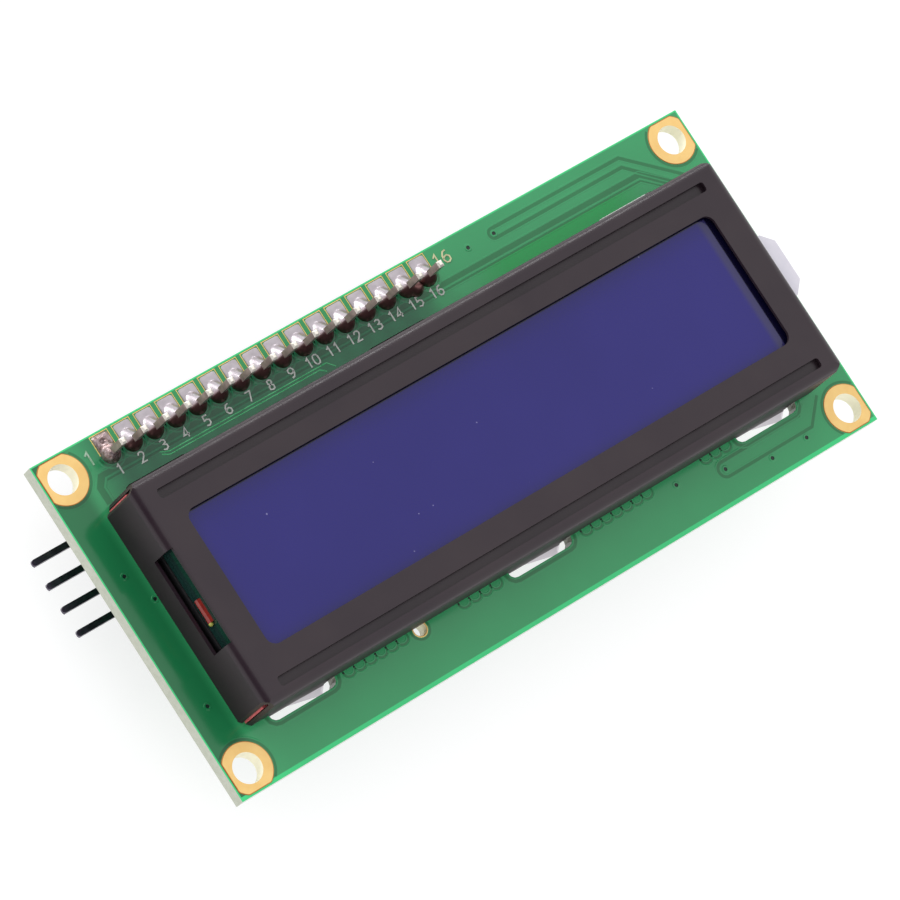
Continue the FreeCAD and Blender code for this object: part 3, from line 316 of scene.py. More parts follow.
def make_specks():
    """Stray specks: 1 on a speck, 0 beside it."""
    tree, given, result = new_group("stray_specks", {"Spacing mm": 4.0, "Speck mm": 0.1}, "Mask")
    scale = math_node(tree, "DIVIDE", 1000.0, given.outputs["Spacing mm"])
    cells = put(tree, "ShaderNodeTexVoronoi", {"Vector": own_place(tree), "Scale": scale}, feature="F1")
    share = math_node(tree, "DIVIDE", given.outputs["Speck mm"], given.outputs["Spacing mm"])
    feed(tree, result.inputs["Mask"], math_node(tree, "LESS_THAN", cells.outputs["Distance"], share))
    return tree


PATCHES = make_patches()
GRAIN = make_grain()
SPECKS = make_specks()
print("groups:", PATCHES.name, GRAIN.name, SPECKS.name)

# %% [markdown]
# ## Making a finish
# Nearly every finish is the same recipe with other values: two close tones mixed by slow
# patches, a roughness that wanders a little, and a grain. Special finishes then paint other
# colours over it where a mask says so. Colours are written as they look on a screen, from 0
# to 255, and turned into the linear values that light needs.

# %% Define the recipe for a finish
def tone(red, green, blue):
    """A screen colour as linear values."""
    shares = [part / 255 for part in (red, green, blue)]
    return (*(s / 12.92 if s <= 0.04045 else ((s + 0.055) / 1.055) ** 2.4 for s in shares), 1.0)


def use_group(tree, group, **values):
    given = {label.replace("_", " "): amount for label, amount in values.items()}
    return put(tree, "ShaderNodeGroup", given, node_tree=group).outputs[0]


def mixed(tree, factor, first, second, blend="MIX"):
    """A colour mix; each colour is a tuple or a socket."""
    return put(tree, "ShaderNodeMix", {"Factor": factor, "A": first, "B": second},
               data_type="RGBA", blend_type=blend).outputs["Result"]


def finish(name, dark, light, patch_mm=6.0, rough=(0.3, 0.4), grain_mm=0.2, grain_depth=0.003,
           metallic=0.0, **sockets):
    """A material: two tones in patches, wandering roughness and a grain."""
    material = bpy.data.materials.new(name)
    material.use_nodes = True
    tree = material.node_tree
    shader = tree.nodes["Principled BSDF"]
    patches = use_group(tree, PATCHES, Size_mm=patch_mm, Low=0.0, High=1.0)
    wear = use_group(tree, PATCHES, Size_mm=patch_mm * 0.37, Low=rough[0], High=rough[1])
    height = use_group(tree, GRAIN, Size_mm=grain_mm, Depth_mm=grain_depth)
    bump = put(tree, "ShaderNodeBump", {"Strength": 1.0, "Distance": 1.0, "Height": height})
    given = {"Base Color": mixed(tree, patches, tone(*dark), tone(*light)), "Roughness": wear,
             "Normal": bump.outputs["Normal"], "Metallic": metallic, **sockets}
    for label, thing in given.items():
        feed(tree, shader.inputs[label], thing)
    return material


def source_of(material, label):
    """The tree and the socket that feeds one of the shader's inputs."""
    tree = material.node_tree
    return tree, tree.nodes["Principled BSDF"].inputs[label].links[0].from_socket


def paint_over(material, mask, colour):
    """Lays a colour over a finish where a mask is 1; the mask is built in its tree."""
    tree, plain = source_of(material, "Base Color")
    painted = mixed(tree, mask(tree), plain, tone(*colour))
    feed(tree, tree.nodes["Principled BSDF"].inputs["Base Color"], painted)
    return material


def dusty(spacing_mm, speck_mm):
    """A mask of stray specks, for painting them over a finish."""
    return lambda tree: use_group(tree, SPECKS, Spacing_mm=spacing_mm, Speck_mm=speck_mm)


def dress(material, *names):
    """Gives solids a finish in place of the plain one they were packed with."""
    for name in names:
        data = nodes[name].data
        data.materials.clear()
        data.materials.append(material)
    return material


print("white reads", [round(part, 2) for part in tone(255, 255, 255)])

# %% [markdown]
# ## Reading the solids
# Chip parts, leads and drilled holes get tinned ends, pads and rims. Two helpers read
# where these go from the solids' meshes. One finds the separate lumps of a node. The other
# walks round the open rims of a flat face, which are its outline and its holes.

# %% Define the two readers
def welded(name):
    """A node's mesh with its doubled points joined."""
    grid = bmesh.new()
    grid.from_mesh(nodes[name].data)
    bmesh.ops.remove_doubles(grid, verts=grid.verts, dist=1e-6)
    grid.verts.ensure_lookup_table()
    return grid


def parts_of(name):
    """Lowest corner, highest corner and middle, in mm, of each separate lump of a node."""
    grid = welded(name)
    seen = set()
    found = []
    for start in grid.verts:
        if start.index in seen:
            continue
        seen.add(start.index)
        group = [start]
        for vert in group:
            for edge in vert.link_edges:
                other = edge.other_vert(vert)
                if other.index not in seen:
                    seen.add(other.index)
                    group.append(other)
        low, high = (Vector([round(pick(v.co[i] for v in group) / MM, 4) for i in range(3)])
                     for pick in (min, max))
        found.append((low, high, (low + high) / 2))
    grid.free()
    return sorted(found, key=lambda lump: tuple(lump[0]))


def rows_of(name):
    """A part's leads in two rows: those above the middle of all, and those below it."""
    leads = parts_of(name)
    level = sum(middle.y for low, high, middle in leads) / len(leads)
    return [lead for lead in leads if lead[2].y > level], [lead for lead in leads if lead[2].y <= level]


def rims_of(name, level):
    """The rims, in mm, of a node's flat faces at a height: its outline and its holes."""
    grid = welded(name)
    flat = {f.index for f in grid.faces
            if abs(f.normal.z) > 0.99 and abs(f.calc_center_median().z / MM - level) < 0.01}
    steps = {}
    for edge in grid.edges:
        if len([f for f in edge.link_faces if f.index in flat]) == 1:
            first, second = (v.index for v in edge.verts)
            steps.setdefault(first, []).append(second)
            steps.setdefault(second, []).append(first)
    rims = []
    for start in sorted(steps):
        if start not in steps:
            continue
        walk = [start]
        while True:
            ahead = [i for i in steps.pop(walk[-1]) if i in steps]
            if not ahead:
                break
            walk.append(ahead[0])
        rims.append([tuple(grid.verts[i].co.xy / MM) for i in walk])
    grid.free()
    return rims


def middle_of(rim):
    return Vector((sum(p[0] for p in rim) / len(rim), sum(p[1] for p in rim) / len(rim)))


def reach_of(rim):
    centre = middle_of(rim)
    return max((Vector(p) - centre).length for p in rim)


def slots_in(rims):
    return [rim for rim in rims if 3.0 < reach_of(rim) < 6.0]


def is_mounting_hole(rim):
    centre = middle_of(rim)
    return abs(reach_of(rim) - 1.5) < 0.3 and abs(centre.y) > 14 and abs(centre.x) > 36


board_rims = rims_of("main_board", BOARD_TOP)
land_middles = [middle_of(rim) for rim in board_rims if is_mounting_hole(rim)]
print(len(board_rims), "rims,", len(land_middles), "mounting holes,", len(slots_in(board_rims)), "slots")

# %% [markdown]
# ## The green board
# Solder mask is a clear green lacquer over copper or over bare glass-fibre. Over copper it is a deep green.
# Along the outline and between the tinned pads there is no copper, and it is a brighter green: partly the
# lacquer's own colour over laminate, partly painted light coming through the laminate. Over the pour there
# is painted light and shade as well: lighter where daylight would pass through the board from behind, and
# painted shade behind the adapter and beside the bezel's left wall. The cut sides show the laminate itself,
# cream with layers. One material does all of it from the piece's own coordinates and its normal, so it
# holds from any side.

# %% Define masks from a piece's own coordinates
def along(tree, axis):
    """A piece's own coordinate: 0, 1 or 2 for x, y or z."""
    return put(tree, "ShaderNodeSeparateXYZ", {0: own_place(tree)}).outputs[axis]


def above(tree, axis, limit_mm, soft_mm=0.02, size_only=False):
    """Goes from 0 to 1 as a coordinate, or its size, passes a limit in millimetres."""
    place = along(tree, axis)
    if size_only:
        place = math_node(tree, "ABSOLUTE", place, 0.0)
    return smooth_step(tree, place, (limit_mm - soft_mm) * MM, (limit_mm + soft_mm) * MM)


def below(tree, *limit):
    return inverse(tree, above(tree, *limit))


def both_of(tree, first, second):
    return math_node(tree, "MULTIPLY", first, second)


def between(tree, axis, low_mm, high_mm, soft_mm=0.02):
    past_low = above(tree, axis, low_mm, soft_mm)
    return math_node(tree, "SUBTRACT", past_low, above(tree, axis, high_mm, soft_mm))


def cut_sides(tree):
    """1 on faces that stand upright, 0 on faces that lie flat."""
    normal = put(tree, "ShaderNodeNewGeometry").outputs["True Normal"]
    upward = put(tree, "ShaderNodeSeparateXYZ", {0: normal}).outputs["Z"]
    return math_node(tree, "LESS_THAN", math_node(tree, "ABSOLUTE", upward, 0.0), 0.5)


X, Y, Z = range(3)
print("masks ready")

# %% Make the lacquers of the main board
ROW_LINE = 13.72
BOTTOM_STRIP = 0.42
THIN_STRIP = 0.14
BRIGHT_GREEN = tone(56, 214, 130)
GAP_GREEN = tone(44, 150, 86)
LIT_GREEN = tone(54, 156, 98)
SHADED_GREEN = tone(28, 106, 70)
CLEAR_GREEN = tone(14, 156, 76)
BEZEL_SHADE_GREEN = tone(26, 112, 66)


def make_board_mask(name, dark, light):
    """Lacquer with painted light and shade: lighter where daylight would pass through the board from
    behind, darker behind the adapter and beside the bezel's left wall.
    """
    material = finish(name, dark, light, 11.0, (0.10, 0.16), 0.35, 0.0005, IOR=1.52)
    tree, plain = source_of(material, "Base Color")
    # Painted shade behind the adapter board, where no daylight passes through from behind; LIT_GREEN is the
    # painted light elsewhere.
    behind = both_of(tree, between(tree, X, adapter_low.x, adapter_high.x - 3.0, 2.5),
                     above(tree, Y, adapter_low.y, 1.0))
    clear = both_of(tree, between(tree, X, adapter_high.x + 4.0, 30.0, 3.0),
                    between(tree, Y, bezel_high.y, ROW_LINE - 0.25, 0.1))
    # Painted shade in the strip beside the bezel's left wall.
    left = below(tree, X, bezel_low.x - 0.2, 0.8)
    lit = mixed(tree, clear, LIT_GREEN, CLEAR_GREEN)
    pour = mixed(tree, left, mixed(tree, behind, lit, SHADED_GREEN), BEZEL_SHADE_GREEN)
    # Between the pads and along the outline the green is brighter: the lacquer's own colour over laminate,
    # with painted light coming through it.
    gaps = both_of(tree, above(tree, Y, PIN_Y + 0.3, 0.2),
                   between(tree, X, PIN_XS[0] - 1.1, PIN_XS[-1] + 1.1, 0.05))
    strip = largest(tree, below(tree, Y, board_low.y + BOTTOM_STRIP),
                    above(tree, Y, board_high.y - THIN_STRIP),
                    above(tree, X, board_high.x - THIN_STRIP, size_only=True))
    face = mixed(tree, strip, mixed(tree, gaps, pour, GAP_GREEN), BRIGHT_GREEN)
    layers = use_group(tree, PATCHES, Size_mm=0.5, Low=0.0, High=1.0)
    cream = mixed(tree, layers, tone(182, 186, 166), tone(194, 197, 180))
    worn = mixed(tree, 1.0, mixed(tree, cut_sides(tree), face, cream), plain, "MULTIPLY")
    feed(tree, tree.nodes["Principled BSDF"].inputs["Base Color"], worn)
    return material


green_lacquer = make_board_mask("green_lacquer", (246, 246, 246), (255, 255, 255))
bare_lacquer = make_board_mask("lacquer_over_laminate", (182, 192, 186), (192, 202, 196))
trace_lacquer = finish("lacquer_over_trace", (66, 172, 108), (80, 186, 122), 6.0, (0.12, 0.18),
                       0.3, 0.0005, IOR=1.52)
lip_lacquer = finish("lacquer_over_copper_edge", (34, 126, 80), (44, 138, 90), 6.0, (0.08, 0.12),
                     0.3, 0.0005, IOR=1.52)
dress(green_lacquer, "main_board")
print("board dressed in", green_lacquer.name)

# %% [markdown]
# ## Metal, paint and plastic
# The bezel is sheet steel under a satin black lacquer, and its tabs stay bright below the
# board, where the lacquer was kept off. The lands are gold over copper, the pins are tin,
# the strips under the bezel's edges are pink silicone, and the rest is moulded plastic.
# After its two tones, each finish has the size of its patches, its roughness from and to,
# the size and depth of its grain, and for metal how metallic it is.

# %% Make the bezel's lacquer with bare tab ends
TAB_BARE = -1.7
WALL_DULLER = 0.22


def bare_ends(tree):
    return below(tree, Z, TAB_BARE, 0.05)


def make_black_lacquer():
    """Satin lacquer, bare on the tabs' ends and duller on the walls, where the spray lay dry."""
    material = finish("black_lacquer", (36, 22, 32), (43, 30, 37), 7.0, (0.28, 0.35), 0.2, 0.002, IOR=1.5)
    paint_over(material, dusty(9.0, 0.13), (120, 114, 116))
    paint_over(material, bare_ends, (214, 208, 214))
    tree, gloss = source_of(material, "Roughness")
    shader = tree.nodes["Principled BSDF"]
    dull = both_of(tree, cut_sides(tree), WALL_DULLER)
    feed(tree, shader.inputs["Roughness"], math_node(tree, "ADD", gloss, dull))
    feed(tree, shader.inputs["Metallic"], bare_ends(tree))
    return material


black_lacquer = make_black_lacquer()
dress(black_lacquer, "bezel")
print("bezel dressed in", black_lacquer.name)

# %% Dress the other metal pieces
gold = finish("gold_plate", (246, 202, 124), (252, 212, 136), 1.6, (0.36, 0.48), 0.12, 0.002, 0.35)
# Painted light: the plated hole walls are a pale cream, lighter than the gold on the faces, as if lit
# inside the holes.
paint_over(gold, cut_sides, (255, 250, 224))
gold_shade = finish("gold_rim", (176, 104, 40), (196, 122, 52), 1.0, (0.36, 0.48), 0.12, 0.002, 0.35)
# The pins are brownish-grey tin along their sides; their flat tops and cut tips carry a painted highlight,
# a near-white cream.
pin_tin = finish("pin_tin", (150, 134, 128), (188, 172, 164), 0.8, (0.3, 0.42), 0.12, 0.001, 0.45)
paint_over(pin_tin, lambda tree: inverse(tree, cut_sides(tree)), (255, 248, 236))
solder = finish("smooth_solder", (192, 184, 190), (208, 200, 206), 0.9, (0.34, 0.44), 0.3, 0.003, 0.92)
flux_solder = finish("fluxed_solder", (124, 98, 92), (186, 168, 170), 0.35, (0.22, 0.5), 0.2, 0.012, 0.8)
dress(gold, "mounting_hole_lands")
dress(pin_tin, "row_pins")
dress(solder, "rear_solder_joints", "backlight_solder_joints", "front_solder_joints")
dress(finish("bright_tin", (176, 172, 170), (206, 202, 198), 1.2, (0.16, 0.28), 0.1, 0.001, 1.0),
      "trimmer_pins", "expander_leads", "transistor_leads", "backlight_leads")
# Painted shade: the connector and jumper pins are a rougher tin in a darker tone than the other leads, for
# the shade under the board.
dress(finish("dull_shaded_tin", (78, 72, 88), (98, 92, 108), 1.2, (0.30, 0.42), 0.1, 0.002, 1.0),
      "connector_pins", "jumper_pins")
dress(finish("spring_bronze", (186, 132, 70), (206, 152, 88), 6.0, (0.25, 0.35), 0.2, 0.003, 1.0),
      "jumper_clip")
dress(finish("screw_brass", (208, 168, 92), (226, 188, 110), 1.0, (0.24, 0.34), 0.08, 0.002, 1.0),
      "trimmer_screw")
print("metal finishes made, now", len(bpy.data.materials), "in all")

# %% Dress the plastic, rubber and resin pieces
black_trace = finish("black_mask_over_trace", (34, 37, 40), (42, 45, 48), 6.0, (0.14, 0.2), 0.35, 0.0006)
black_mask = dress(finish("black_mask", (18, 20, 22), (24, 26, 28), 6.0, (0.16, 0.24), 0.35, 0.0006),
                   "adapter_board")
black_plastic = dress(finish("black_plastic", (24, 24, 26), (31, 31, 33), 2.0, (0.42, 0.52), 0.09, 0.003),
                      "row_insulator", "connector_insulator", "jumper_insulator", "jumper_cap")
blue_plastic = dress(finish("blue_plastic", (22, 84, 196), (30, 96, 210), 2.0, (0.36, 0.46), 0.1, 0.003),
                     "trimmer_body")
black_resin = dress(finish("black_resin", (14, 14, 15), (22, 22, 23), 3.0, (0.16, 0.28), 1.2, 0.02),
                    "driver_resin_domes")
dress(finish("chip_plastic", (34, 34, 37), (42, 42, 45), 1.6, (0.52, 0.62), 0.07, 0.004),
      "expander_chip", "driver_transistor")
dress(finish("white_plastic", (222, 218, 228), (232, 228, 236), 2.5, (0.34, 0.42), 0.12, 0.002),
      "lamp_housing", "reflector_film", "diffuser_film")
dress(finish("pink_rubber", (222, 104, 108), (232, 122, 124), 1.5, (0.5, 0.6), 0.1, 0.004),
      "upper_contact_strip", "lower_contact_strip")
dress(finish("red_resin", (116, 26, 22), (140, 40, 30), 0.6, (0.12, 0.2), 0.3, 0.01), "filling_port_seal")
dress(finish("tan_ceramic", (150, 118, 84), (168, 134, 98), 0.7, (0.4, 0.5), 0.06, 0.003),
      "board_capacitors", "adapter_capacitors")
dress(finish("dark_glaze", (26, 26, 29), (34, 34, 37), 0.8, (0.3, 0.4), 0.08, 0.002),
      "board_resistors", "adapter_resistors")
dress(finish("lamp_resin", (226, 220, 150), (236, 230, 170), 0.5, (0.12, 0.2), 0.2, 0.001),
      "light_emitters", "power_light")
dress(finish("milky_acrylic", (206, 214, 220), (216, 224, 228), 6.0, (0.1, 0.16), 0.4, 0.001),
      "light_guide")
print("plastic finishes made, now", len(bpy.data.materials), "in all")

# %% [markdown]
# ## The display's window
# With the lamp off, the cell is a deep violet-blue film with a hard, smooth face and a few stray specks of
# dust. Towards the lamp end it turns to a soft greyer strip, and then to a painted shadow: the bezel's
# shade inside the cell, a dark band at the right end that also shows as a thin line at the top.

# %% Make the cell's finishes
WINDOW_RIGHT = bezel_high.x - 3.55
WINDOW_TOP = (bezel_low.y + bezel_high.y) / 2 + 7.25


# Painted shadow of the bezel inside the cell: a dark band at the window's right end and a thin line along
# its top.
def dark_border(tree):
    return largest(tree, above(tree, X, WINDOW_RIGHT - 0.5, 0.08), above(tree, Y, WINDOW_TOP - 0.16, 0.06))


display_blue = finish("violet_film", (22, 14, 104), (28, 20, 110), 18.0, (0.10, 0.15), 0.5, 0.0003, IOR=1.5)
paint_over(display_blue, dusty(2.6, 0.09), (112, 108, 156))
paint_over(display_blue, lambda tree: above(tree, X, WINDOW_RIGHT - 1.3, 0.35), (50, 46, 94))
# Paints the bezel's shadow into the cell.
paint_over(display_blue, dark_border, (10, 8, 34))
cell_glass = finish("cell_glass", (50, 62, 66), (58, 70, 74), 6.0, (0.06, 0.1), 0.5, 0.0003, IOR=1.5)
paint_over(cell_glass, cut_sides, (22, 46, 42))
dress(display_blue, "front_polarizer", "rear_polarizer")
dress(cell_glass, "front_glass", "rear_glass")
print("window dressed in", display_blue.name, "with its border from x", round(WINDOW_RIGHT, 2))

# %% [markdown]
# ## Helpers for small meshes
# The pieces that follow are built point by point, in millimetres. A pile collects the
# points and faces of many like shapes, so that sixteen joints or thirty vias are one
# piece. Each face also keeps the number of its finish.

# %% Define the pile and the piece
class Pile:
    """Points and faces of many like shapes that become one mesh."""

    def __init__(self):
        self.points = []
        self.faces = []
        self.marks = []

    def add(self, points, faces, marks=0):
        first = len(self.points)
        self.points.extend(points)
        self.faces.extend([tuple(first + i for i in face) for face in faces])
        self.marks.extend(marks if isinstance(marks, list) else [marks] * len(faces))


def new_piece(name, pile, materials, smooth=False):
    """Turns a pile into an object that rides on the module, with its finishes."""
    mesh = bpy.data.meshes.new(name)
    mesh.from_pydata([Vector(p) * MM for p in pile.points], [], pile.faces)
    for material in materials:
        mesh.materials.append(material)
    for face, mark in zip(mesh.polygons, pile.marks):
        face.material_index = mark
        face.use_smooth = smooth
    mesh.validate()
    piece = add_object(name, mesh)
    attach(piece, "module")
    print(name, "made with", len(pile.faces), "faces")
    return piece


print("mesh helpers ready")

# %% Define ribbons that follow a path
def shifted(path, distance, closed):
    """A path moved sideways by a distance, with mitred corners."""
    moved = []
    total = len(path)
    for i, point in enumerate(path):
        pairs = []
        if i or closed:
            pairs.append((path[i - 1], point))
        if i < total - 1 or closed:
            pairs.append((point, path[(i + 1) % total]))
        sides = []
        for start, end in pairs:
            way = Vector((end[0] - start[0], end[1] - start[1])).normalized()
            sides.append(Vector((-way.y, way.x)))
        turn = sum(sides, Vector((0.0, 0.0))).normalized()
        reach = distance / max(0.45, turn.dot(sides[0]))
        moved.append((point[0] + turn.x * reach, point[1] + turn.y * reach))
    return moved


def ribbon(pile, path, section, on=FRONT, closed=False, lanes=None):
    """Sweeps a closed section of (side, height) points along a flat path."""
    base, up = on
    rails = [shifted(path, side, closed) for side, height in section]
    count = len(section)
    points = [(rails[k][i][0], rails[k][i][1], base + up * section[k][1])
              for i in range(len(path)) for k in range(count)]
    faces = []
    marks = []
    for i in range(len(path) if closed else len(path) - 1):
        after = (i + 1) % len(path)
        for k in range(count):
            far = (k + 1) % count
            faces.append((i * count + k, after * count + k, after * count + far, i * count + far)[::up])
            marks.append(lanes[k] if lanes else 0)
    if not closed:
        last = (len(path) - 1) * count
        faces += [tuple(range(count))[::up], tuple(range(last, last + count))[::-up]]
        marks += [0, 0]
    pile.add(points, faces, marks)


def flat_strip(width, height, edge=0.04):
    """Section of a trace or a printed line: a low strip with sloping edges."""
    half = width / 2
    return [(-half, -0.02), (half, -0.02), (half - edge, height), (-half + edge, height)]


def arc(centre, radius, start, end, steps):
    """Points of an arc, with its angles in degrees."""
    turns = [math.radians(start + (end - start) * i / steps) for i in range(steps + 1)]
    return [(centre[0] + radius * math.cos(a), centre[1] + radius * math.sin(a)) for a in turns]


def circle(centre, radius, steps):
    return arc(centre, radius, 0, 360, steps)[:-1]


print("ribbons ready")

# %% Define turned shapes
def turned(pile, centre, profile, on=FRONT, sides=24, lanes=None):
    """Turns a profile of (radius, height) points round an upright axis."""
    base, up = on
    points = []
    rows = []
    for radius, height in profile:
        level = base + up * height
        if radius < 1e-6:
            rows.append([len(points)] * sides)
            points.append((centre[0], centre[1], level))
        else:
            rows.append(list(range(len(points), len(points) + sides)))
            points += [(x, y, level) for x, y in circle(centre, radius, sides)]
    faces = []
    marks = []
    for k in range(len(rows) - 1):
        for side in range(sides):
            after = (side + 1) % sides
            quad = (rows[k][side], rows[k + 1][side], rows[k + 1][after], rows[k][after])
            faces.append(tuple(dict.fromkeys(quad))[::up])
            marks.append(lanes[k] if lanes else 0)
    pile.add(points, faces, marks)


def soft_box(pile, low, high, edge):
    """A box whose edges are rounded off."""
    grid = bmesh.new()
    bmesh.ops.create_cube(grid, size=1.0)
    centre = (Vector(low) + Vector(high)) / 2
    size = Vector(high) - Vector(low)
    for vert in grid.verts:
        vert.co = centre + vert.co * size
    bmesh.ops.bevel(grid, geom=list(grid.edges), offset=edge, segments=2, profile=0.6, affect="EDGES")
    bmesh.ops.recalc_face_normals(grid, faces=grid.faces)
    grid.verts.ensure_lookup_table()
    grid.verts.index_update()
    pile.add([tuple(v.co) for v in grid.verts], [tuple(v.index for v in f.verts) for f in grid.faces])
    grid.free()


print("turned shapes and soft boxes ready")

# %% [markdown]
# ## Solder joints along the pin row
# Each joint is a round mound of solder that climbs its pin and has run out over the tinned
# pad to the board's edge. A fan of rays from the pin's middle gives the outline, a circle
# joined to a rounded pad, and one height rule lets the mound melt into the flat pad. A fixed
# seed gives each mound its own lean and height. The first joint is lumpy with a pit in its
# pad, and the fifteenth, which carries the lamp's current, has a second blob beside it.

# %% Set the joint's sizes and its outline
JOINT_RADIUS = 1.02
JOINT_HEIGHT = 1.1
CLIMB = 0.08
PAD_HALF = 0.93
PAD_REACH = board_high.y - 0.3 - PIN_Y
FILM = 0.07
LUMPY_PIN = 0
DOUBLE_PIN = 14
SECOND_BLOB = (0.78, -0.5, 0.82, 0.98)
PIT = (-0.12, 1.25)
PIT_RADIUS = 0.3


def out_of_circle(angle, x, y, radius):
    """How far a ray from the pin's middle goes before it leaves a circle."""
    ahead = x * math.cos(angle) + y * math.sin(angle)
    inside = ahead ** 2 - (x * x + y * y - radius * radius)
    return ahead + math.sqrt(inside) if inside > 0 else 0.0


def out_of_pad(angle):
    """How far the ray goes before it leaves the pad, whose corners are rounded."""
    if math.sin(angle) < 1e-3:
        return 0.0
    side = PAD_HALF / max(abs(math.cos(angle)), 1e-3)
    end = PAD_REACH / math.sin(angle)
    return (side ** -14 + end ** -14) ** (-1 / 14)


print("pad reaches", round(PAD_REACH, 2), "mm from the pin")

# %% Build the sixteen front joints
def mound_share(share, flow):
    """Height of a mound as a share; it drops steeply, or flows out where flow nears 1."""
    return max(0.0, 1 - share ** 2) ** (0.56 + 0.9 * flow)


def joint_height(x, y, blobs, lumpy, share):
    """Height of the solder at a place, measured from the pin's middle."""
    lump = noise.noise(Vector((x * 2.1, y * 2.1, 3.7)))
    pad = FILM + 0.012 * lump
    if lumpy:
        pit = math.hypot(x - PIT[0], y - PIT[1]) / PIT_RADIUS
        pad = 0.26 + 0.16 * lump + 0.12 * math.exp(-(pit - 1.2) ** 2 * 6) - 0.3 * math.exp(-pit ** 2 * 1.6)
    pad = max(0.03, pad) * (1 - share ** 12)
    tall = 0.0
    for blob_x, blob_y, radius, height in blobs:
        flow = max(0.0, min(1.0, (y - blob_y) / radius))
        near = math.hypot(x - blob_x, (y - blob_y) / (1 + 0.5 * flow)) / radius
        rough = 1 + (0.16 if lumpy else 0.02) * lump
        tall = (tall ** 5 + (height * mound_share(near, flow) * rough) ** 5) ** 0.2
    past_pin = max(0.0, max(abs(x), abs(y)) - PIN_HALF)
    return (pad ** 2 + tall ** 2) ** 0.5 + CLIMB * math.exp(-past_pin / 0.16)


def make_front_joints(rings=24, sides=60):
    chance = random.Random(16)
    pile = Pile()
    for number, x in enumerate(PIN_XS):
        lumpy = number == LUMPY_PIN
        radius = JOINT_RADIUS * chance.uniform(0.96, 1.03)
        blobs = [(0.0, 0.0, radius, JOINT_HEIGHT * chance.uniform(0.97, 1.03))]
        if number == DOUBLE_PIN:
            blobs.append(SECOND_BLOB)
        lean = (chance.uniform(-0.1, 0.05), chance.uniform(-0.02, 0.08))
        points = [(x, PIN_Y, BOARD_TOP + joint_height(0, 0, blobs, lumpy, 0.0))]
        for ring in range(1, rings + 1):
            share = (ring / rings) ** 0.9
            for side in range(sides):
                angle = 2 * math.pi * side / sides
                reach = share * max(out_of_pad(angle), *(out_of_circle(angle, *blob[:3]) for blob in blobs))
                dx = reach * math.cos(angle)
                dy = reach * math.sin(angle)
                tall = joint_height(dx, dy, blobs, lumpy, share)
                shift = tall * (1 - share)
                points.append((x + dx + lean[0] * shift, PIN_Y + dy + lean[1] * shift,
                               BOARD_TOP - 0.01 + tall))
        faces = [(0, 1 + side, 1 + (side + 1) % sides) for side in range(sides)]
        for first in range(1, 1 + (rings - 1) * sides, sides):
            for side in range(sides):
                after = (side + 1) % sides
                faces.append((first + side, first + sides + side, first + sides + after, first + after))
        pile.add(points, faces, int(lumpy))
    return new_piece("front_joints", pile, [joint_solder, flux_solder], smooth=True)


# Painted reflection: the flank towards the bezel is darker and browner, for the dark bezel wall mirrored in
# the solder.
joint_solder = finish("joint_solder", (180, 172, 178), (198, 190, 196), 0.9, (0.3, 0.4), 0.3, 0.003, 0.92)
paint_over(joint_solder, lambda tree: below(tree, Y, PIN_Y + 0.1, 0.35), (128, 92, 90))
front_joints = make_front_joints()
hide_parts("front_solder_joints")

# %% [markdown]
# ## Gold round the pads and the lands
# The tin doesn't reach the rim of each pad, so a hair line of gold plating frames it on
# three sides. The large lands end in a darker rim where the gold thins out, and the spare
# hole beside the bezel is plated through.

# %% Frame the pads, rim the lands and plate the spare hole
FRAME_SIDE = PAD_HALF + 0.07
FRAME_LINE = 0.12
LAND_RADIUS = 2.49
LAND_INSET = 0.25


def make_pad_frames():
    pile = Pile()
    far = PIN_Y + PAD_REACH + 0.06
    for x in PIN_XS:
        left, right = x - FRAME_SIDE, x + FRAME_SIDE
        ribbon(pile, [(left, PIN_Y + 0.2), (left, far), (right, far), (right, PIN_Y + 0.2)],
               flat_strip(FRAME_LINE, 0.03))
    new_piece("pad_frames", pile, [gold])


def land_outline(centre):
    """A land's outline: a circle, cut straight where it would run over the board's edge."""
    far = (board_high.x - LAND_INSET, board_high.y - LAND_INSET)
    return [tuple(max(-far[i], min(far[i], point[i])) for i in (0, 1))
            for point in circle(centre, LAND_RADIUS, 72)]


def make_land_rims():
    pile = Pile()
    for centre in land_middles:
        for on in (FRONT, REAR):
            ribbon(pile, land_outline(centre), flat_strip(0.13, 0.06), on, closed=True)
    new_piece("land_rims", pile, [gold_shade])


def make_spare_plating(rim):
    pile = Pile()
    radius = reach_of(rim)
    upper = [(radius - 0.04, 0.0), (radius, 0.035), (radius + 0.1, 0.03), (radius + 0.14, -0.01)]
    lower = [(out, BOARD_REAR - BOARD_TOP - height) for out, height in upper[::-1]]
    turned(pile, middle_of(rim), lower + upper, sides=40)
    new_piece("spare_hole_plating", pile, [gold], smooth=True)


make_pad_frames()
make_land_rims()
spare_rim = min((rim for rim in board_rims if reach_of(rim) < 0.9), key=lambda rim: middle_of(rim).y)
spare_middle = middle_of(spare_rim)
make_spare_plating(spare_rim)
print("spare hole at", [round(c, 2) for c in spare_middle])

# %% [markdown]
# ## What shows through the lacquer
# Copper stands a little above the laminate, and the lacquer follows it. Where copper was
# etched away there is a darker channel between two raised lips; a trace is a brighter,
# raised line. Both are ribbons swept along paths. The scalloped rows along the bezel's
# lower side are a copper edge with small half-round bites.

# %% Define channels, traces, vias and bites
LIP = 0.2
LIP_UP = 0.012
LIP_FOOT = -0.003
FLOOR_UP = 0.006
SLOT_GAP = 0.34
BITE_DEPTH = 0.8


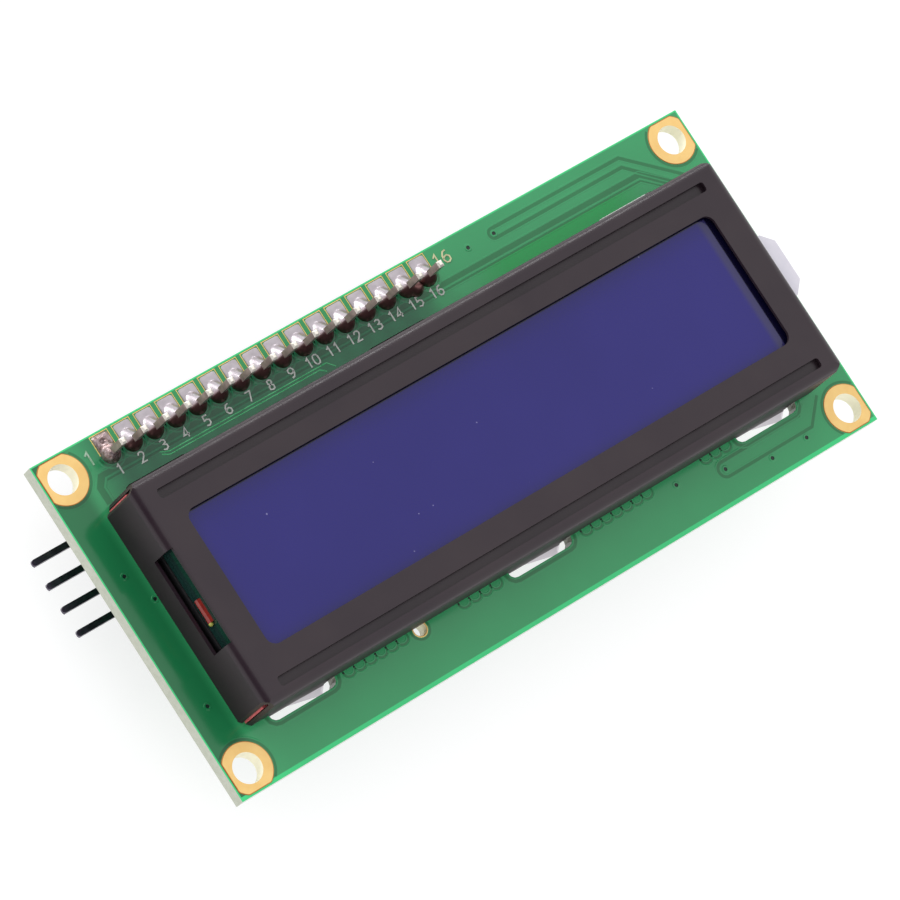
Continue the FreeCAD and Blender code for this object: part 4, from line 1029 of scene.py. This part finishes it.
def channel(pile, path, width, on=FRONT, closed=False, deeper=0.0):
    half = width / 2
    floor_up = FLOOR_UP + deeper
    section = [(-half - LIP, LIP_FOOT), (half + LIP, LIP_FOOT), (half + LIP / 2, LIP_UP), (half, floor_up),
               (-half, floor_up), (-half - LIP / 2, LIP_UP)]
    ribbon(pile, path, section, on, closed, lanes=[1, 1, 1, 0, 1, 1])


def trace(pile, path, width, on=FRONT, mark=2):
    ribbon(pile, path, flat_strip(width, 0.014, 0.09), on, lanes=[mark] * 4)


def slot_channel(pile, rim, on=FRONT):
    """The clearance round a tab slot, on the outer side of its rim."""
    turning = sum(rim[i - 1][0] * p[1] - p[0] * rim[i - 1][1] for i, p in enumerate(rim))
    outward = math.copysign(SLOT_GAP / 2 + LIP, -turning)
    channel(pile, shifted(rim, outward, True), SLOT_GAP, on, closed=True, deeper=0.004)


def land_channel(pile, centre, on=FRONT):
    """The clearance on a land's inner side; on the outer side the board's edge is too near."""
    away = math.degrees(math.atan2(math.copysign(1, centre[1]), math.copysign(1, centre[0])))
    channel(pile, arc(centre, LAND_RADIUS + 0.23, away + 90, away + 270, 44), 0.24, on, deeper=0.005)


def via(pile, x, y, on=FRONT):
    turned(pile, (x, y), [(0.0, 0.004), (0.16, 0.004), (0.2, 0.03), (0.34, 0.034), (0.41, -0.01)], on,
           sides=20, lanes=[3, 3, 2, 2])


def scallops(pile, start, total, pitch, y):
    """A copper edge with joined half-round bites and a dark dot in each."""
    path = [(start - pitch / 2, y + 0.3)]
    for number in range(total):
        x = start + number * pitch
        path += [(px, y + (py - y) * BITE_DEPTH) for px, py in arc((x, y), pitch / 2, 188, 352, 10)]
        dot = [(0.0, 0.02), (0.1, 0.02), (0.14, -0.01)]
        turned(pile, (x - pitch / 2, y + 0.1), dot, sides=14, lanes=[3, 3])
    channel(pile, path + [(start + (total - 0.5) * pitch, y + 0.3)], 0.2, deeper=0.001)


via_dark = finish("via_pit", (4, 30, 22), (8, 38, 26), 1.0, (0.2, 0.3))
FRONT_FINISHES = [bare_lacquer, green_lacquer, green_lacquer, via_dark, trace_lacquer]
REAR_FINISHES = [bare_lacquer, lip_lacquer, trace_lacquer, via_dark]
print("channels, traces, vias and bites ready")

# %% Lay the channels and traces of the front
# Each row of bites has its first bite's x, how many there are and their pitch.
BITES = ((-23.45, 6, 1.28), (-9.45, 4, 1.3), (5.75, 7, 1.28), (21.05, 3, 1.26))
BITE_Y = -12.65
VIAS = ((14.9, 16.0), (11.65, 16.0), (16.65, -13.4), (22.2, -14.5), (27.3, -15.9), (31.8, -15.9),
        (-37.55, 5.1), (-36.15, 1.95), (-37.55, -8.85))


def make_front_copper():
    pile = Pile()
    channel(pile, [(-34.62, 11.5), (-34.62, 13.1), (-34.0, 13.9), (32.1, 13.9), (34.9, 11.6)], 0.95)
    trace(pile, [(-34.3, 11.5), (-34.3, 13.0), (-33.7, ROW_LINE), (32.0, ROW_LINE), (34.5, 11.6)], 0.36)
    # The next two traces are drawn a lighter green, a painted highlight along their edges.
    trace(pile, [(-27.7, 13.4), (-26.75, 13.05), (-8.0, 13.05), (-7.3, 12.35)], 0.22, mark=4)
    trace(pile, [(-27.6, 13.1), (-26.9, 12.75), (-9.0, 12.75), (-8.4, 12.35)], 0.22, mark=4)
    upper_loop = arc((14.9, 16.02), 0.5, 90, 270, 12)
    path = [(36.9, 11.7), (31.25, 16.5)] + upper_loop + [(31.0, 15.55), (35.5, 11.6)]
    channel(pile, path, 0.36, deeper=0.002)
    lower_loop = arc((22.2, -14.5), 0.78, 90, 270, 14)
    channel(pile, lower_loop + [(33.0, -15.28), (35.4, -12.9)], 0.32, deeper=0.002)
    channel(pile, [(22.2, -13.72), (32.4, -13.72), (33.4, -12.8)], 0.32, deeper=0.003)
    for rim in slots_in(board_rims):
        if middle_of(rim).y < 0:
            slot_channel(pile, rim)
    for centre in land_middles:
        land_channel(pile, centre)
    channel(pile, circle(spare_middle, 1.0, 40), 0.24, closed=True, deeper=0.005)
    for start, total, pitch in BITES:
        scallops(pile, start, total, pitch, BITE_Y)
    for x, y in VIAS:
        via(pile, x, y)
    for x in PIN_XS:
        channel(pile, arc((x, PIN_Y), 1.24, 180, 360, 24), 0.22, deeper=0.001)
    new_piece("front_copper_relief", pile, FRONT_FINISHES)


make_front_copper()

# %% [markdown]
# ## Printed numbers
# White ink counts the pins: each has its plain number below it, and larger numbers stand
# beside the first and the last. A digit is a short pen path on a grid one high; the path is
# swept as a thin printed line, so the ink has a real edge.

# %% Define the digits and print the numbers
PEN_PATHS = {
    "0": [(0.1, 0.07), (0, 0.3), (0, 0.7), (0.1, 0.93), (0.3, 1), (0.5, 0.93), (0.6, 0.7), (0.6, 0.3),
          (0.5, 0.07), (0.3, 0), (0.1, 0.07)],
    "1": [(0.1, 0.78), (0.34, 1), (0.34, 0)],
    "2": [(0.02, 0.76), (0.1, 0.94), (0.3, 1), (0.5, 0.94), (0.58, 0.76), (0.5, 0.54), (0.02, 0), (0.6, 0)],
    "3": [(0.03, 0.9), (0.3, 1), (0.53, 0.9), (0.54, 0.66), (0.28, 0.54), (0.56, 0.42), (0.58, 0.14),
          (0.3, 0), (0.02, 0.1)],
    "4": [(0.46, 0), (0.46, 1), (0, 0.3), (0.62, 0.3)],
    "5": [(0.54, 1), (0.08, 1), (0.05, 0.56), (0.32, 0.62), (0.55, 0.5), (0.58, 0.2), (0.34, 0),
          (0.04, 0.08)],
    "6": [(0.5, 0.96), (0.22, 0.9), (0.03, 0.6), (0, 0.28), (0.12, 0.04), (0.36, 0), (0.57, 0.14),
          (0.58, 0.4), (0.4, 0.56), (0.16, 0.52), (0.02, 0.34)],
    "7": [(0, 1), (0.6, 1), (0.22, 0)],
    "8": [(0.3, 0.54), (0.08, 0.68), (0.1, 0.92), (0.3, 1), (0.5, 0.92), (0.52, 0.68), (0.3, 0.54),
          (0.04, 0.38), (0.06, 0.1), (0.3, 0), (0.54, 0.1), (0.56, 0.38), (0.3, 0.54)],
}
PEN_PATHS["9"] = [(0.6 - x, 1 - y) for x, y in PEN_PATHS["6"]]
DIGIT_STEP = 0.86
INK_UP = 0.07


def print_number(pile, text, centre_x, base_y, high, pen, mark=0):
    wide = (len(text) - 1) * DIGIT_STEP + 0.6
    for place, digit in enumerate(text):
        left = centre_x + (place * DIGIT_STEP - wide / 2) * high
        path = [(left + x * high, base_y + y * high) for x, y in PEN_PATHS[digit]]
        ribbon(pile, path, flat_strip(pen, INK_UP, 0.02), lanes=[mark] * 4)


def make_numbers():
    pile = Pile()
    for number, x in enumerate(PIN_XS):
        print_number(pile, str(number + 1), x, 13.3, 1.0, 0.17)
    print_number(pile, "1", PIN_XS[0] - 2.1, 15.3, 1.35, 0.2, mark=1)
    print_number(pile, str(len(PIN_XS)), PIN_XS[-1] + 2.45, 15.72, 1.25, 0.17, mark=2)
    tones = (("ink_white", (176, 182, 176), (204, 206, 200)),
             ("ink_worn", (104, 160, 118), (168, 190, 170)),
             ("ink_yellowed", (186, 186, 140), (220, 214, 172)))
    inks = [finish(*row, 0.5, (0.4, 0.55), 0.12, 0.004) for row in tones]
    new_piece("pin_numbers", pile, inks)


make_numbers()

# %% [markdown]
# ## Behind the bezel's side window
# The window in the bezel's left wall shows the ends of the cell and the backlight. A thin black cover
# closes the light guide's end and folds over its edge, so that the end looks dark, and the red drop that
# seals the cell has a paler tip where the resin ran thin.

# %% Cover the guide's end and add the drop's tip
guide_low, guide_high = box_mm("light_guide")
film_top = box_mm("diffuser_film")[1].z
seal_low, seal_high = box_mm("filling_port_seal")


# Two thin black soft boxes over the guide's end make it dark.
def make_guide_tape():
    pile = Pile()
    near, far = guide_low.y + 0.1, guide_high.y - 0.1
    edge, fold = guide_low.x, box_mm("rear_polarizer")[0].x - 0.02
    soft_box(pile, (edge - 0.09, near, 0.06), (edge - 0.005, far, film_top + 0.06), 0.03)
    soft_box(pile, (edge - 0.05, near, film_top + 0.005), (fold, far, film_top + 0.06), 0.02)
    new_piece("guide_end_cover", pile, [black_plastic], smooth=True)


def make_seal_tip():
    pile = Pile()
    profile = [(0.0, 0.3), (0.12, 0.26), (0.2, 0.14), (0.22, 0.0), (0.2, -0.14), (0.12, -0.26), (0.0, -0.3)]
    level = (seal_low.z + seal_high.z) / 2
    turned(pile, (seal_high.x - 0.16, seal_low.y - 0.12), profile, (level, 1), sides=20)
    resin_tip = finish("resin_tip", (150, 150, 60), (170, 170, 80), 0.4, (0.12, 0.2))
    new_piece("seal_tip", pile, [resin_tip], smooth=True)


make_guide_tape()
make_seal_tip()

# %% [markdown]
# ## Joints behind the boards
# On the rear each pin stands out of a small cone of solder whose sides curve inwards. The
# same turned profile serves the backlight's two leads and the tails of the adapter's own
# parts, which are soldered on the side towards the main board.

# %% Build the open joints
CONE = [(1.0, 0.0), (0.97, 0.06), (0.82, 0.12), (0.64, 0.28), (0.52, 0.5), (0.46, 0.72), (0.43, 0.88),
        (0.36, 0.98), (0.2, 1.0), (0.0, 1.0)]


def make_cones(name, places, radius, height, on):
    """One open joint at each place."""
    pile = Pile()
    for place in places:
        size = chance.uniform(0.95, 1.04)
        turned(pile, place, [(r * radius * size, h * height) for r, h in CONE], on, sides=28)
    return new_piece(name, pile, [solder], smooth=True)


chance = random.Random(5)
lead_places = [middle.xy for low, high, middle in parts_of("backlight_leads")]
tails = [(high.x - PIN_HALF, middle.y) for low, high, middle in parts_of("connector_pins")]
tails += [(low.x + PIN_HALF, middle.y) for low, high, middle in parts_of("jumper_pins")]
tails += [middle.xy for low, high, middle in parts_of("trimmer_pins")]
rear = make_cones("rear_joints", [(x, PIN_Y) for x in PIN_XS], 1.0, 0.88, ADAPTER_FACE)
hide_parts("rear_solder_joints")
leads = make_cones("lead_joints", lead_places, 1.0, 0.88, REAR)
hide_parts("backlight_solder_joints")
make_cones("tail_joints", tails, 0.9, 0.6, (adapter_high.z, 1))

# %% [markdown]
# ## Resin domes
# The two driver chips sit bare on the board under blobs of black resin, with a round foot,
# a steep edge and a nearly flat, slightly wavy top. A turned profile with a little noise
# replaces each faceted solid.

# %% Build the resin domes
def make_domes(rings=30, sides=96):
    pile = Pile()
    for low, high, middle in parts_of("driver_resin_domes"):
        tall = high.z - low.z
        radius = (high.x - low.x) / 2
        start = len(pile.points)
        profile = [(radius * share * 0.99, tall * 0.98 * max(0.0, 1 - share ** 2.4) ** 0.62)
                   for share in (ring / rings for ring in range(rings + 1))]
        turned(pile, middle.xy, profile, REAR, sides)
        for i in range(start, len(pile.points)):
            x, y, z = pile.points[i]
            depth = (BOARD_REAR - z) / tall
            wave = noise.noise(Vector((x * 0.3, y * 0.3, 1.5)))
            pile.points[i] = (x, y, z + 0.05 * depth * wave + 0.02 * depth)
    piece = new_piece("resin_domes", pile, [black_resin], smooth=True)
    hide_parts("driver_resin_domes")


make_domes()

# %% [markdown]
# ## Chip parts with tinned ends
# A chip resistor or capacitor is a small ceramic brick with a tinned cap at each end that
# sits in a fillet of solder on a pad. The brick is the solid itself; soft boxes make the
# caps and the pads, and a short ramp makes the fillet.

# %% Build the ends, the pads and the fillets
CAP_SHARE = 0.22
CAP_SKIN = 0.02


def fillet(pile, x, low_y, high_y, tall, reach, on, side):
    """A ramp of solder with a hollow face, from a chip's end down to its pad."""
    base, up = on
    curve = [(0.0, tall), (0.12 * reach, tall * 0.6), (0.4 * reach, tall * 0.25), (reach, 0.02), (0.0, 0.0)]
    total = len(curve)
    points = [(x + side * d, y, base + up * h) for y in (low_y, high_y) for d, h in curve]
    faces = [(k, k + 1, k + 1 + total, k + total) for k in range(total - 1)]
    faces += [tuple(range(total))[::-1], tuple(range(total, 2 * total))]
    pile.add(points, [face[::up * side] for face in faces])


def dress_chips(name, on):
    ends = Pile()
    top, up = on
    skin_low, skin_high = CAP_SKIN * (up < 0), CAP_SKIN * (up > 0)
    for low, high, middle in parts_of(name):
        cap = (high.x - low.x) * CAP_SHARE
        for side, edge, inner in ((-1, low.x - CAP_SKIN, low.x + cap),
                                  (1, high.x + CAP_SKIN, high.x - cap)):
            soft_box(ends, (min(edge, inner), low.y - CAP_SKIN, low.z - skin_low),
                     (max(edge, inner), high.y + CAP_SKIN, high.z + skin_high), 0.05)
            fillet(ends, edge, low.y, high.y, (high.z - low.z) * 0.62, 0.34, on, side)
            start, end = sorted((edge - side * 0.3, edge + side * 0.42))
            soft_box(ends, (start, low.y - 0.08, top - 0.03), (end, high.y + 0.08, top + 0.03), 0.012)
    new_piece(name + "_ends", ends, [solder])


for name in ("board_resistors", "board_capacitors"):
    dress_chips(name, REAR)
for name in ("adapter_resistors", "adapter_capacitors", "power_light"):
    dress_chips(name, ADAPTER_FACE)

# %% Build the pads under the leads
def make_lead_pads():
    pile = Pile()
    for name, foot, wide in (("expander_leads", 0.8, 0.1), ("transistor_leads", 0.42, 0.16)):
        upper, lower = rows_of(name)
        for low, high, middle in upper + lower:
            outward = 1 if (low, high, middle) in upper else -1
            tip = high.y if outward > 0 else low.y
            near, far = sorted((tip - outward * (foot + 0.1), tip + outward * 0.35))
            soft_box(pile, (low.x - wide, near, ADAPTER_REAR - 0.04),
                     (high.x + wide, far, ADAPTER_REAR + 0.02), 0.015)
            ramp = [(tip, 0.2), (tip + outward * 0.1, 0.12), (tip + outward * 0.3, 0.03), (tip, 0.0)]
            points = [(x, y, ADAPTER_REAR - h) for x in (low.x, high.x) for y, h in ramp]
            faces = [(0, 1, 5, 4), (1, 2, 6, 5), (2, 3, 7, 6), (0, 3, 2, 1), (4, 5, 6, 7)]
            pile.add(points, [face[::-outward] for face in faces])
    new_piece("lead_pads", pile, [solder])


make_lead_pads()

# %% [markdown]
# ## Traces on the rear
# The driver chips fan out under their resin: traces leave each dome like rays, and most
# turn straight up or down to the contacts under the display. On the adapter, traces run
# from the chip's leads to the pin row.

# %% Fan the driver traces out
FAN_START = 6.9
FAN_RADIUS = 8.5
FAN_LINES = 19
FAN_ENDS = ((1, 11.2), (-1, -12.0))
HOLE_CLEAR = 1.4


def clears_hole(path):
    """Whether a path keeps clear of the spare hole all along."""
    places = [Vector(start).lerp(Vector(end), step / 8)
              for start, end in zip(path, path[1:]) for step in range(9)]
    return min((place - spare_middle).length for place in places) >= HOLE_CLEAR


def make_rear_relief():
    pile = Pile()
    for low, high, centre in parts_of("driver_resin_domes"):
        for number in range(FAN_LINES):
            share = -0.93 + 1.86 * number / (FAN_LINES - 1)
            rise = math.sqrt(1 - share ** 2)
            for way, end in FAN_ENDS:
                stop = end - way * 0.7 * (number % 2)
                path = [(centre.x + radius * share, centre.y + way * radius * rise)
                        for radius in (FAN_START, FAN_RADIUS)]
                if (stop - centre.y) * way > FAN_RADIUS * rise + 0.4:
                    path.append((path[-1][0], stop))
                if clears_hole(path):
                    trace(pile, path, 0.2, REAR)
                    via(pile, *path[-1], REAR)
    for rim in slots_in(rims_of("main_board", BOARD_REAR)):
        slot_channel(pile, rim, REAR)
    for centre in land_middles:
        land_channel(pile, centre, REAR)
    for x, y in VIAS:
        via(pile, x, y, REAR)
    new_piece("rear_copper_relief", pile, REAR_FINISHES)


def make_adapter_relief():
    pile = Pile()
    upper, lower = rows_of("expander_leads")
    for number, (low, high, middle) in enumerate(upper):
        pin_x = PIN_XS[number + 4]
        off = abs(number - 3.5)
        start_y = high.y + 0.2
        path = [(middle.x, start_y), (middle.x, start_y + 0.35 + 0.28 * off),
                (pin_x, PIN_Y - 1.9 - 0.1 * off), (pin_x, PIN_Y - 0.8)]
        trace(pile, path, 0.22, ADAPTER_FACE)
    for number, (low, high, middle) in enumerate(lower):
        drop = low.y - 0.5 - 0.3 * (number % 3)
        trace(pile, [(middle.x, low.y - 0.2), (middle.x, drop)], 0.22, ADAPTER_FACE)
        via(pile, middle.x, drop, ADAPTER_FACE)
    finishes = [black_mask, black_mask, black_trace, black_mask]
    new_piece("adapter_copper_relief", pile, finishes)


make_rear_relief()
make_adapter_relief()

# %% [markdown]
# ## Trimmer
# The blue trimmer carries its brass screw in a round well, whose edge is broken by a small
# bevel that catches a line of light.

# %% Add the rim of the trimmer's well
screw_low, screw_high = box_mm("trimmer_screw")
well_face = box_mm("trimmer_body")[0].z


def make_trimmer_rim():
    pile = Pile()
    inner = (screw_high.x - screw_low.x) / 2 + 0.06
    profile = [(inner, 0.02), (inner + 0.06, 0.0), (inner + 0.25, 0.0), (inner + 0.34, 0.05)]
    turned(pile, ((screw_low + screw_high) / 2).xy, profile, (well_face, 1), sides=64)
    new_piece("trimmer_rim", pile, [blue_plastic], smooth=True)


make_trimmer_rim()
print("trimmer rim at z", round(well_face, 2), "screw face at z", round(screw_low.z, 2))
